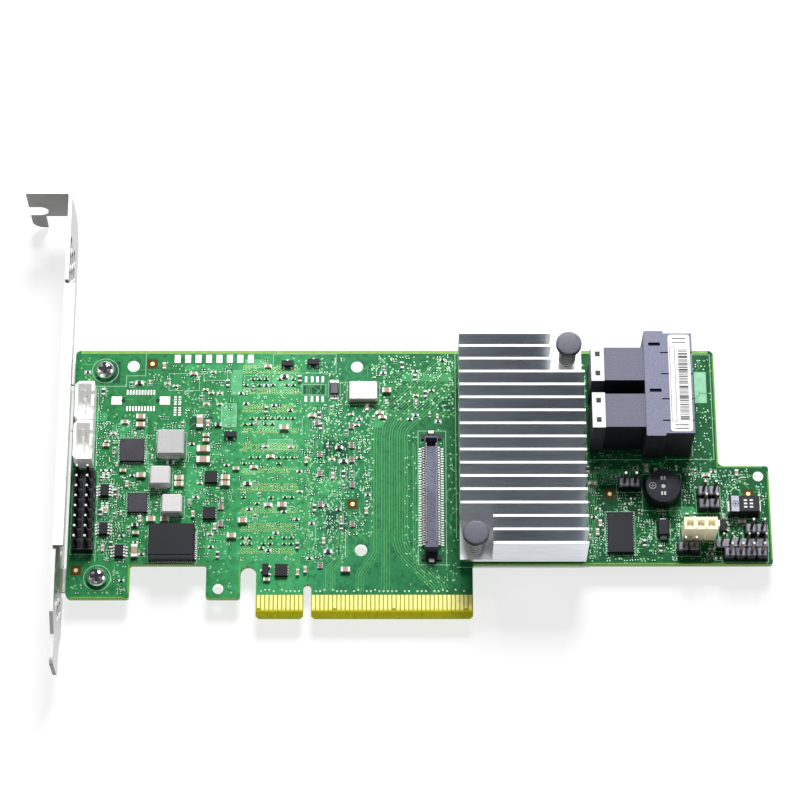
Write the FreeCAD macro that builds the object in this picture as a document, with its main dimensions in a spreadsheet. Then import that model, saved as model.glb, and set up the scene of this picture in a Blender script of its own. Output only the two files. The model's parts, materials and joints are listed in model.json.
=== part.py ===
import FreeCAD, Part
import math
import os
import Sketcher
from FreeCAD import Placement, Rotation, Vector

# Frame: X runs along the card, away from the bracket, from the middle of the key notch.
# Y runs up from the tip of the contact tongue. Z is zero on the board's component side.

document = FreeCAD.newDocument("raid_controller_card")
sheet = document.addObject("Spreadsheet::Sheet", "Sizes")
nodes = []
through_pins = []


sizes = {
    # Circuit board
    "board_thick": 1.57,
    "board_long": 167.64,
    "board_left": 57.15,
    "board_top": 68.90,
    "board_low": 13.35,
    "step_wide": 11.99,
    "step_up": 38.46,
    "tab_low": 4.86,
    "first_tab_end": 42.20,
    "second_tab_start": 24.00,
    "second_tab_end": 15.90,
    "relief_top": 12.95,
    "corner_round": 1.30,
    "small_round": 0.70,
    "fixing_hole": 2.95,
    "tooling_hole": 2.50,
    "plain_hole_sides": 12,
    "cut_spare": 2.00,
    # Contact tongue
    "tongue_left": 12.15,
    "tongue_right": 39.15,
    "key_wide": 1.90,
    "key_deep": 8.45,
    "bevel_run": 1.45,
    "bevel_drop": 0.50,
    "contact_pitch": 1.00,
    "contact_wide": 0.70,
    "contact_thick": 0.05,
    "contact_start": 1.65,
    "contact_end": 5.65,
    "contact_late": 0.75,
    "short_side_contacts": 11,
    "long_side_contacts": 38,
    "first_contact": 1.50,
    # Bracket
    "sheet_thick": 0.86,
    "panel_gap": 1.04,
    "panel_wide": 18.42,
    "panel_below": 3.90,
    "bracket_tall": 120.00,
    "tongue_tip": 14.60,
    "shoulder_up": 7.50,
    "shoulder_cut": 4.11,
    "flange_deep": 11.43,
    "fold_round": 0.40,
    "screw_slot_wide": 4.20,
    "screw_slot_deep": 4.70,
    "screw_slot_height": 5.10,
    "hook_wide": 3.75,
    "hook_gap": 5.40,
    "hook_drop": 6.20,
    "top_corner_cut": 6.20,
    "lip_start": 12.80,
    "lip_end": 80.30,
    "lip_deep": 1.70,
    "relief_wide": 1.00,
    "relief_deep": 1.60,
    "tab_wide": 5.90,
    "tab_long": 13.00,
    "collar_wide": 4.60,
    "collar_tall": 1.10,
    "vent_across": 3.70,
    "vent_pitch": 4.48,
    "vent_row_gap": 3.83,
    "vent_start": 16.00,
    "vent_height": 3.70,
    "vent_count": 18,
    "low_vent_up": 1.50,
    # Bracket screws
    "screw_inset": 7.35,
    "screw_high": 63.50,
    "screw_low": 9.90,
    "screw_head": 4.70,
    "screw_head_tall": 2.10,
    "screw_dome": 0.60,
    "screw_shank": 2.85,
    "screw_long": 3.40,
    "screw_hole": 3.20,
    "cross_long": 2.60,
    "cross_wide": 0.70,
    "cross_deep": 1.20,
    "thread_clear": 0.10,
    # Heat sink and what lies under it
    "sink_left": 36.10,
    "sink_long": 29.90,
    "sink_low": 13.30,
    "sink_wide": 54.30,
    "sink_base": 1.40,
    "fin_thick": 0.60,
    "fin_tall": 10.80,
    "fin_count": 17,
    "high_corner_long": 7.90,
    "low_corner_long": 7.60,
    "corner_wide": 10.00,
    "package_long": 27.00,
    "package_tall": 1.30,
    "die_long": 11.00,
    "die_wide": 9.50,
    "die_tall": 0.50,
    "pad_tall": 0.20,
    "pad_long": 16.00,
    # Push pins
    "pin_inset_across": 3.55,
    "pin_inset_up": 2.95,
    "pin_head": 6.10,
    "pin_head_tall": 1.50,
    "pin_shank": 2.60,
    "pin_above_base": 9.20,
    "pin_clear": 0.25,
    "barb_wide": 3.60,
    "barb_gap": 0.10,
    "barb_tip": 1.60,
    "barb_split": 0.50,
    "spring_wide": 3.90,
    "spring_wire": 0.42,
    "spring_turns": 5.00,
    "spring_runs": 8,
    # Stacked drive sockets
    "cage_setback": 6.70,
    "cage_long": 11.50,
    "cage_mouth_long": 6.80,
    "cage_low": 40.45,
    "cage_high": 67.65,
    "cage_inset": 0.65,
    "cage_tall": 14.40,
    "cage_round": 0.80,
    "port_low": 47.15,
    "port_pitch": 12.05,
    "port_wide": 8.90,
    "port_tall": 10.60,
    "port_floor": 1.90,
    "latch_gap": 0.32,
    "latch_wide": 5.55,
    "latch_long": 7.60,
    "catch_wide": 0.85,
    "catch_long": 2.80,
    "catch_offset": 5.00,
    "catch_deep": 1.00,
    "rear_long": 9.60,
    "rear_wide": 8.50,
    "rear_tall": 14.00,
    "port_deep": 5.30,
    "nose_clear": 0.15,
    "slot_wide": 7.30,
    "slot_tall": 1.40,
    "slot_deep": 4.50,
    "slot_gap": 5.00,
    "drive_contact_pitch": 2.20,
    "drive_contact_wide": 0.90,
    "drive_contact_thick": 0.15,
    "drive_contacts": 3,
    "cover_long": 3.10,
    "cover_wide": 9.00,
    "cover_tall": 14.20,
    "cover_window": 1.10,
    "cover_window_gap": 5.00,
    "cover_window_deep": 0.60,
    "label_long": 5.20,
    "label_setback": 0.50,
    "label_margin": 0.75,
    "label_thick": 0.10,
    "label_corner": 0.50,
    # Mezzanine socket
    "mezzanine_across": 29.45,
    "mezzanine_up": 30.50,
    "mezzanine_wide": 3.15,
    "mezzanine_long": 28.40,
    "mezzanine_tall": 4.00,
    "ridge_wide": 2.10,
    "ridge_slot": 0.30,
    "ridge_slot_deep": 2.50,
    "end_pocket_long": 2.25,
    "end_pocket_deep": 3.20,
    "end_wall": 0.45,
    "mezzanine_pitch": 0.635,
    "mezzanine_leads": 40,
    "mezzanine_lead_wide": 0.30,
    "mezzanine_lead_long": 1.40,
    "mezzanine_lead_thick": 0.25,
    "lock_wide": 4.90,
    "lock_tongue": 1.90,
    "lock_long": 2.60,
    "lock_thick": 0.40,
    "lock_boss": 1.00,
    "lock_boss_tall": 0.90,
    # Pin headers
    "pin_pitch": 2.54,
    "pin_square": 0.64,
    "pin_base": 2.54,
    "pin_top": 8.60,
    "pin_tail": 1.40,
    "pin_hole_clear": 0.10,
    "cell_cut": 0.45,
    "key_header_inset": 3.60,
    "key_header_up": 26.40,
    "key_header_rows": 8,
    "fine_pitch": 2.00,
    "fine_square": 0.50,
    "fine_header_inset": 7.29,
    "fine_header_up": 17.98,
    "fine_header_pins": 6,
    "long_header_inset": 6.57,
    "long_header_up": 15.58,
    "long_header_pins": 4,
    # White signal sockets
    "socket_long": 9.95,
    "socket_wide": 4.60,
    "socket_tall": 6.00,
    "socket_wall": 0.65,
    "socket_floor": 1.50,
    "socket_chamfer": 0.90,
    "socket_pitch": 2.00,
    "socket_pins": 4,
    "socket_pin": 0.50,
    "socket_pin_top": 5.00,
    "socket_notch_wide": 1.00,
    "socket_notch_deep": 2.40,
    # Sensor socket
    "sensor_inset": 17.49,
    "sensor_up": 20.95,
    "sensor_long": 7.90,
    "sensor_wide": 3.10,
    "sensor_tall": 7.60,
    "sensor_pins": 3,
    "sensor_well_wide": 1.70,
    "sensor_well_long": 1.50,
    "sensor_well_deep": 4.50,
    "sensor_pin_depth": 1.00,
    "sensor_slit": 0.30,
    "sensor_slit_deep": 0.45,
    "sensor_ear": 0.45,
    "sensor_ear_tall": 2.50,
    # Buzzer
    "buzzer_inset": 25.79,
    "buzzer_up": 31.65,
    "buzzer_wide": 8.50,
    "buzzer_tall": 4.60,
    "buzzer_round": 0.30,
    "buzzer_hole": 1.50,
    "buzzer_hole_deep": 1.20,
    # Chips
    "memory_long": 13.30,
    "memory_wide": 9.00,
    "memory_tall": 1.10,
    "memory_across": -10.00,
    "memory_low": 20.60,
    "memory_pitch": 10.30,
    "memory_count": 5,
    "flash_across": 74.45,
    "flash_up": 21.15,
    "flash_long": 6.10,
    "flash_wide": 10.20,
    "flash_tall": 1.10,
    "charger_across": -42.55,
    "charger_up": 42.40,
    "charger_long": 5.90,
    "charger_tall": 0.90,
    "driver_across": -40.80,
    "driver_up": 28.80,
    "driver_long": 4.60,
    "driver_wide": 5.00,
    "small_chip_long": 3.00,
    "small_chip_tall": 0.90,
    "module_across": -32.20,
    "module_up": 18.10,
    "module_long": 10.80,
    "module_wide": 8.00,
    "module_tall": 4.60,
    "logic_long": 2.00,
    "logic_wide": 3.00,
    "logic_tall": 1.00,
    "logic_lift": 0.10,
    "logic_pitch": 0.75,
    "logic_lead_wide": 0.35,
    "logic_lead_out": 1.05,
    "logic_lead_thick": 0.20,
    "transistor_long": 2.90,
    "transistor_wide": 1.50,
    "transistor_tall": 1.00,
    "transistor_lead_wide": 0.45,
    "transistor_lead_out": 0.55,
    # Coils, crystal can, diode and tank capacitor
    "large_coil_across": -33.20,
    "large_coil_up": 43.55,
    "large_coil_long": 6.50,
    "large_coil_tall": 3.30,
    "small_coil_long": 4.80,
    "small_coil_tall": 3.00,
    "coil_corner": 0.50,
    "crystal_across": 13.05,
    "crystal_up": 57.60,
    "crystal_long": 7.00,
    "crystal_wide": 5.00,
    "crystal_base": 0.60,
    "crystal_inset": 0.15,
    "crystal_tall": 1.40,
    "crystal_corner": 0.50,
    "diode_inset": 25.84,
    "diode_up": 22.10,
    "diode_long": 3.90,
    "diode_wide": 2.60,
    "diode_tall": 2.10,
    "diode_tab": 0.55,
    "diode_tab_wide": 1.50,
    "diode_tab_tall": 1.10,
    "tank_inset": 6.44,
    "tank_up": 27.40,
    "tank_long": 7.00,
    "tank_wide": 4.20,
    "tank_tall": 3.70,
    "tank_draft": 0.25,
    "tank_foot": 0.45,
    "tank_foot_wide": 2.60,
    "tank_foot_tall": 1.90,
    # Ceramic capacitors
    "large_capacitor_long": 3.20,
    "large_capacitor_wide": 1.60,
    "large_capacitor_tall": 1.00,
    "middle_capacitor_long": 2.20,
    "middle_capacitor_wide": 1.25,
    "middle_capacitor_tall": 0.90,
    "small_capacitor_long": 1.60,
    "small_capacitor_wide": 0.80,
    "small_capacitor_tall": 0.70,
    "under_capacitor_pitch": 5.00,
    "under_capacitor_rows": 3,
    "under_capacitor_columns": 4,
}

# Middle of each repeated piece on the board, across and up. The first kinds are measured
# from the end of the board at the bracket, the next from its far end, the rest from the notch.
places = {
    "end_fixing": [(14.17, 64.72)],
    "socket": [(3.15, 53.25), (3.15, 42.95)],
    "logic": [(12.35, 16.55), (8.40, 32.00), (8.45, 22.20)],
    "far_tooling": [(-2.54, 35.80)],
    "jumper": [(-33.64, 33.35), (-14.84, 31.23), (-14.69, 27.97), (-3.84, 21.56), (-20.04, 17.05)],
    "far_transistor": [(-11.54, 22.90)],
    "fixing": [(11.50, 64.55), (12.65, 16.90)],
    "tooling": [(-21.10, 7.15)],
    "small_chip": [(-23.40, 35.45), (-23.60, 26.15), (-6.20, 11.65)],
    "tall_logic": [(6.00, 58.55)],
    "transistor": [(-5.40, 65.20), (-18.95, 46.45), (0.90, 65.60)],
    "upright_transistor": [(-9.95, 11.75)],
    "small_coil": [(-35.45, 35.10), (-32.45, 27.80)],
    "large_capacitor": [(-25.40, 42.75), (-25.40, 39.95)],
    "large_upright_capacitor": [(-26.40, 49.95), (-41.15, 16.60)],
    "middle_capacitor": [
        (-40.75, 51.20),
        (-40.75, 49.10),
        (-40.20, 35.95),
        (-31.05, 35.25),
        (-31.05, 33.70),
        (-37.50, 24.65),
        (-34.20, 24.65),
        (-19.95, 35.35),
        (-19.95, 33.80),
        (-15.60, 24.30),
        (-18.20, 20.45),
        (-6.05, 48.35),
        (-6.25, 28.30),
        (9.00, 11.85),
        (18.75, 58.15),
    ],
}


def fill_sheet():
    """Write each size, and both coordinates of each place, on a row of the sheet with its alias."""
    rows = dict(sizes)
    for kind, points in places.items():
        for number, (across, up) in enumerate(points):
            rows["%s_site_%d_across" % (kind, number)] = across
            rows["%s_site_%d_up" % (kind, number)] = up
    for row, (name, value) in enumerate(rows.items(), 1):
        sheet.set("A%d" % row, name)
        sheet.set("B%d" % row, str(value))
        sheet.setAlias("B%d" % row, name)


fill_sheet()
document.recompute()


class Size:
    """A sheet value, or a formula of sheet values, with the number that it has now."""

    def __init__(self, number, formula):
        self.number = float(number)
        self.formula = formula

    def __float__(self):
        return self.number

    def __int__(self):
        return int(round(self.number))

    def __add__(self, other):
        other = as_size(other)
        return Size(self.number + other.number, "(%s + %s)" % (self.formula, other.formula))

    def __sub__(self, other):
        other = as_size(other)
        return Size(self.number - other.number, "(%s - %s)" % (self.formula, other.formula))

    def __mul__(self, other):
        other = as_size(other)
        return Size(self.number * other.number, "(%s * %s)" % (self.formula, other.formula))

    def __truediv__(self, other):
        other = as_size(other)
        return Size(self.number / other.number, "(%s / %s)" % (self.formula, other.formula))

    def __neg__(self):
        return Size(-self.number, "(-1 * %s)" % self.formula)

    def __radd__(self, other):
        return as_size(other) + self

    def __rsub__(self, other):
        return as_size(other) - self

    def __rmul__(self, other):
        return as_size(other) * self


class Reader:
    """Gives each sheet value by its name."""

    def __getattr__(self, name):
        return Size(sheet.get(name), "Sizes." + name)


size = Reader()


def as_size(value):
    """A plain number as a formula, and a size as it is."""
    return value if isinstance(value, Size) else Size(value, "(%r)" % value)


def sites(kind, start=0):
    """The places of one kind of piece, as pairs of sizes, measured from a given line across the board."""
    names = ["%s_site_%d" % (kind, number) for number in range(len(places[kind]))]
    return [(start + getattr(size, name + "_across"), getattr(size, name + "_up")) for name in names]


def bind(item, path, value):
    """Tie a property of an object to a formula of the sheet."""
    item.setExpression(path, as_size(value).formula)


def keep(item, label):
    """Name a finished sub-part and put it on the list of exports."""
    item.Label = label
    nodes.append(item)
    return item


def bind_place(item, across, up, height):
    """Tie an object's position to formulas of the sheet."""
    bind(item, "Placement.Base.x", across)
    bind(item, "Placement.Base.y", up)
    bind(item, "Placement.Base.z", height)


def cuboid(name, long, wide, tall, left, low, bottom):
    """A box from its three sides and its lowest corner."""
    item = document.addObject("Part::Box", name)
    bind(item, "Length", long)
    bind(item, "Width", wide)
    bind(item, "Height", tall)
    bind_place(item, left, low, bottom)
    return item


def centred_cuboid(name, long, wide, tall, across, up, bottom):
    """A box standing on the middle of its bottom face."""
    return cuboid(name, long, wide, tall, across - long / 2, up - wide / 2, bottom)


def cut(name, base, *tools):
    """The base with the tools taken out of it."""
    joined = document.addObject("Part::MultiFuse", name + "_tools")
    joined.Shapes = list(tools)
    item = document.addObject("Part::Cut", name)
    item.Base = base
    item.Tool = joined if len(tools) > 1 else tools[0]
    if len(tools) == 1:
        document.removeObject(joined.Name)
    return item


def fuse(name, *pieces):
    """Several solids of one piece joined into one."""
    item = document.addObject("Part::MultiFuse", name)
    item.Shapes = list(pieces)
    item.Refine = True
    return item


def group(label, shapes):
    """Identical or like solids that share a node."""
    item = document.addObject("Part::Feature", label)
    item.Shape = Part.makeCompound(list(shapes))
    return keep(item, label)


def brick(long, wide, tall, across, up, bottom):
    """A box shape standing on the middle of its bottom face, for groups."""
    corner = Vector(float(across) - float(long) / 2, float(up) - float(wide) / 2, float(bottom))
    return Part.makeBox(float(long), float(wide), float(tall), corner)


def spread(count, pitch):
    """Distances of evenly spaced pieces from their middle."""
    return [(number - (int(count) - 1) / 2) * float(pitch) for number in range(int(count))]


def new_body(name):
    return document.addObject("PartDesign::Body", name)


def page_on(body, name, role, right=0, up=0, out=0):
    """A sketch on one of a body's origin planes, moved by three formulas."""
    page = body.newObject("Sketcher::SketchObject", name)
    plane = next(item for item in body.Origin.OriginFeatures if item.Role == role)
    page.AttachmentSupport = [(plane, "")]
    page.MapMode = "FlatFace"
    bind(page, "AttachmentOffset.Base.x", right)
    bind(page, "AttachmentOffset.Base.y", up)
    bind(page, "AttachmentOffset.Base.z", out)
    return page


def outline(page, points):
    """A closed outline whose corners are tied to the sketch's origin."""
    corners = [Vector(float(as_size(right)), float(as_size(up)), 0) for right, up in points]
    last = len(points) - 1
    for number, corner in enumerate(corners):
        page.addGeometry(Part.LineSegment(corner, corners[(number + 1) % len(corners)]), False)
    for number in range(len(points)):
        following = 0 if number == last else number + 1
        page.addConstraint(Sketcher.Constraint("Coincident", number, 2, following, 1))
    for number, (right, up) in enumerate(points):
        for kind, value in (("DistanceX", as_size(right)), ("DistanceY", as_size(up))):
            mark = page.addConstraint(Sketcher.Constraint(kind, -1, 1, number, 1, float(value)))
            bind(page, "Constraints[%d]" % mark, value)
    return page


def rectangle(page, wide, high):
    """A rectangle with one corner on the sketch's origin."""
    return outline(page, [(0, 0), (wide, 0), (wide, high), (0, high)])


def circle(page, wide):
    """A circle round the sketch's origin."""
    ring = page.addGeometry(Part.Circle(Vector(0, 0, 0), Vector(0, 0, 1), float(wide) / 2), False)
    page.addConstraint(Sketcher.Constraint("Coincident", ring, 3, -1, 1))
    mark = page.addConstraint(Sketcher.Constraint("Diameter", ring, float(wide)))
    bind(page, "Constraints[%d]" % mark, wide)
    return page


def many_sided(page, wide):
    """A regular outline of a set number of sides round the sketch's origin, for clearance round the part's own pins."""
    sides = int(size.plain_hole_sides)
    turns = [2 * math.pi * (number + 0.5) / sides for number in range(sides)]
    reach = wide / (2 * math.cos(math.pi / sides))
    return outline(page, [(reach * math.cos(angle), reach * math.sin(angle)) for angle in turns])


def hexagon(page, across_flats):
    """A six-sided hole round the sketch's origin, with corners up and down the sketch."""
    half = across_flats / 2
    corner = across_flats / math.sqrt(3)
    flank = corner / 2
    return outline(page, [(0, corner), (-half, flank), (-half, -flank), (0, -corner), (half, -flank), (half, flank)])


def pad(body, page, length, reverse=False):
    item = body.newObject("PartDesign::Pad", page.Name + "_pad")
    item.Profile = page
    bind(item, "Length", length)
    item.Reversed = reverse
    return item


def pocket(body, page, length, reverse=False):
    item = body.newObject("PartDesign::Pocket", page.Name + "_pocket")
    item.Profile = page
    bind(item, "Length", length)
    item.Reversed = reverse
    return item


def turn(body, page):
    """Revolve a sketch about its upright axis."""
    item = body.newObject("PartDesign::Revolution", page.Name + "_turn")
    item.Profile = page
    item.ReferenceAxis = (page, ["V_Axis"])
    item.Angle = 360
    return item


def repeat(body, feature, page, axis, count, pitch):
    """Repeat a feature in a line along one of its sketch's axes."""
    item = body.newObject("PartDesign::LinearPattern", feature.Name + "_row")
    item.Originals = [feature]
    item.Direction = (page, [axis])
    bind(item, "Length", (count - 1) * pitch)
    bind(item, "Occurrences", count)
    body.Tip = item
    return item


def edges_at(feature, points, drawn="xy", near=0.02):
    """Names of the straight edges that run square to a plane through given points of it."""
    document.recompute()
    found = []
    for number, edge in enumerate(feature.Shape.Edges):
        ends = [vertex.Point for vertex in edge.Vertexes]
        if len(ends) != 2 or not isinstance(edge.Curve, (Part.Line, Part.LineSegment)):
            continue
        for point in points:
            gaps = [abs(getattr(end, axis) - float(as_size(at))) for end in ends for axis, at in zip(drawn, point)]
            if max(gaps) < near:
                found.append("Edge%d" % (number + 1))
    return found


def round_edges(body, feature, points, radius, drawn="xy"):
    item = body.newObject("PartDesign::Fillet", feature.Name + "_round")
    item.Base = (feature, edges_at(feature, points, drawn))
    bind(item, "Radius", radius)
    body.Tip = item
    return item


def bevel_edges(body, feature, points, cut_size, drawn="xy"):
    item = body.newObject("PartDesign::Chamfer", feature.Name + "_bevel")
    item.Base = (feature, edges_at(feature, points, drawn))
    bind(item, "Size", cut_size)
    body.Tip = item
    return item


def copies(item, places):
    """The shape of a finished object moved to each of several places."""
    document.recompute()
    return [item.Shape.translated(Vector(*[float(as_size(value)) for value in place])) for place in places]


# Places that several pieces share
board_left = -size.board_left
board_right = board_left + size.board_long
step_across = board_right - size.step_wide
panel_top = size.bracket_tall - size.tongue_tip
board_bottom = -size.board_thick
panel_inner = board_left - size.panel_gap
panel_outer = panel_inner - size.sheet_thick
panel_low = -size.panel_below
panel_high = size.panel_wide - size.panel_below
screw_across = board_left + size.screw_inset
screw_heights = (size.screw_high, size.screw_low)
package_top = size.package_tall + size.die_tall
sink_bottom = package_top + size.pad_tall
sink_floor = sink_bottom + size.sink_base
sink_right = size.sink_left + size.sink_long
sink_high = size.sink_low + size.sink_wide
sink_middle = (size.sink_left + size.sink_long / 2, size.sink_low + size.sink_wide / 2)
pin_places = (
    (size.sink_left + size.pin_inset_across, size.sink_low + size.pin_inset_up),
    (sink_right - size.pin_inset_across, sink_high - size.pin_inset_up),
)
cage_front = step_across - size.cage_setback
cage_left = cage_front - size.cage_long
cage_step = cage_front - size.cage_mouth_long
latch_back = cage_front - size.latch_long
rear_left = cage_left - size.rear_long
nose_front = cage_front - size.port_deep
cover_left = rear_left - size.cover_long
port_middles = (size.port_low, size.port_low + size.port_pitch)


def build_circuit_board():
    """The board's outline is a rectangle with its notches and slots milled out."""
    board = new_body("board_blank")
    spare = size.cut_spare
    slab = pad(
        board,
        rectangle(
            page_on(board, "board_blank", "XY_Plane", board_left, 0, board_bottom),
            size.board_long,
            size.board_top,
        ),
        size.board_thick,
    )
    relief_round = (size.second_tab_end - size.tongue_left) / 2
    windows = (
        ("step", step_across, size.step_up, board_right + spare, size.board_top + spare),
        ("right_edge", size.tongue_right, -spare, board_right + spare, size.board_low),
        ("tab_gap", -size.first_tab_end, -spare, -size.second_tab_start, size.board_low),
        ("first_tab", board_left - spare, -spare, -size.first_tab_end, size.tab_low),
        ("second_tab", -size.second_tab_start, -spare, -size.second_tab_end, size.tab_low),
        ("relief", -size.second_tab_end, -spare, -size.tongue_left, size.relief_top - relief_round),
        ("key", -size.key_wide / 2, -spare, size.key_wide / 2, size.key_deep - size.key_wide / 2),
    )
    for name, left, low, right, high in windows:
        page = page_on(board, name, "XY_Plane", left, low, 0)
        slab = pocket(board, rectangle(page, right - left, high - low), size.board_thick)
    relief_middle = -(size.second_tab_end + size.tongue_left) / 2
    holes = [
        ("relief_end", relief_middle, size.relief_top - relief_round, relief_round * 2),
        ("key_end", as_size(0), size.key_deep - size.key_wide / 2, size.key_wide),
    ]
    fixing = sites("end_fixing", board_left) + sites("fixing")
    tooling = sites("far_tooling", board_right) + sites("tooling")
    holes += [("fixing_hole_%d" % n, x, y, size.fixing_hole) for n, (x, y) in enumerate(fixing)]
    holes += [("tooling_hole_%d" % n, x, y, size.tooling_hole) for n, (x, y) in enumerate(tooling)]
    for name, across, up, wide in holes:
        slab = pocket(board, circle(page_on(board, name, "XY_Plane", across, up, 0), wide), size.board_thick)
    pin_hole = size.pin_shank + size.pin_clear * 2
    own = [("screw_hole_%d" % n, screw_across, y, size.screw_hole) for n, y in enumerate(screw_heights)]
    own += [("push_pin_hole_%d" % n, x, y, pin_hole) for n, (x, y) in enumerate(pin_places)]
    for name, across, up, wide in own:
        slab = pocket(board, many_sided(page_on(board, name, "XY_Plane", across, up, 0), wide), size.board_thick)
    wide_corners = (
        (board_left, size.board_top),
        (step_across, size.board_top),
        (step_across, size.step_up),
        (board_left, size.tab_low),
    )
    small_corners = (
        (board_right, size.step_up),
        (board_right, size.board_low),
        (-size.first_tab_end, size.tab_low),
        (-size.first_tab_end, size.board_low),
        (-size.second_tab_start, size.board_low),
        (-size.second_tab_start, size.tab_low),
        (-size.second_tab_end, size.tab_low),
        (size.tongue_right, size.board_low),
    )
    tongue_corners = (
        (size.tongue_right, 0),
        (-size.tongue_left, 0),
        (-size.key_wide / 2, 0),
        (size.key_wide / 2, 0),
    )
    slab = round_edges(board, slab, wide_corners, size.corner_round)
    slab = round_edges(board, slab, small_corners, size.small_round)
    slab = bevel_edges(board, slab, tongue_corners, size.small_round)
    for name, face, depth in (("upper_bevel", 0, -size.bevel_drop), ("lower_bevel", board_bottom, size.bevel_drop)):
        page = page_on(board, name, "YZ_Plane", 0, face, size.tongue_right)
        outline(page, [(0, 0), (size.bevel_run, 0), (0, depth)])
        slab = pocket(board, page, size.tongue_left + size.tongue_right)
    return board


def drill_circuit_board(board):
    """Takes a square hole out of the board for each pin that goes through it."""
    holes = document.addObject("Part::Feature", "pin_holes")
    holes.Shape = Part.makeCompound(
        [brick(wide, wide, size.board_thick, across, up, board_bottom) for across, up, wide in through_pins]
    )
    keep(cut("drilled_board", board, holes), "circuit_board")


def build_edge_contacts():
    """Gold contacts on both faces of the tongue, with the late-mating ones shorter."""
    first = float(size.first_contact)
    left = [-first - step * float(size.contact_pitch) for step in range(int(size.short_side_contacts))]
    right = [first + step * float(size.contact_pitch) for step in range(int(size.long_side_contacts))]
    late_front = {5, 19, 36}
    shapes = []
    for face, row in (("front", left), ("front", right), ("back", left), ("back", right)):
        bottom = 0 if face == "front" else float(board_bottom) - float(size.contact_thick)
        for number, across in enumerate(row):
            late = number in late_front if face == "front" and row is right else number == 10 and row is left
            start = float(size.contact_start) + (float(size.contact_late) if late else 0)
            long = float(size.contact_end) - start
            shapes.append(brick(size.contact_wide, long, size.contact_thick, across, start + long / 2, bottom))
    group("edge_contacts", shapes)


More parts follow.
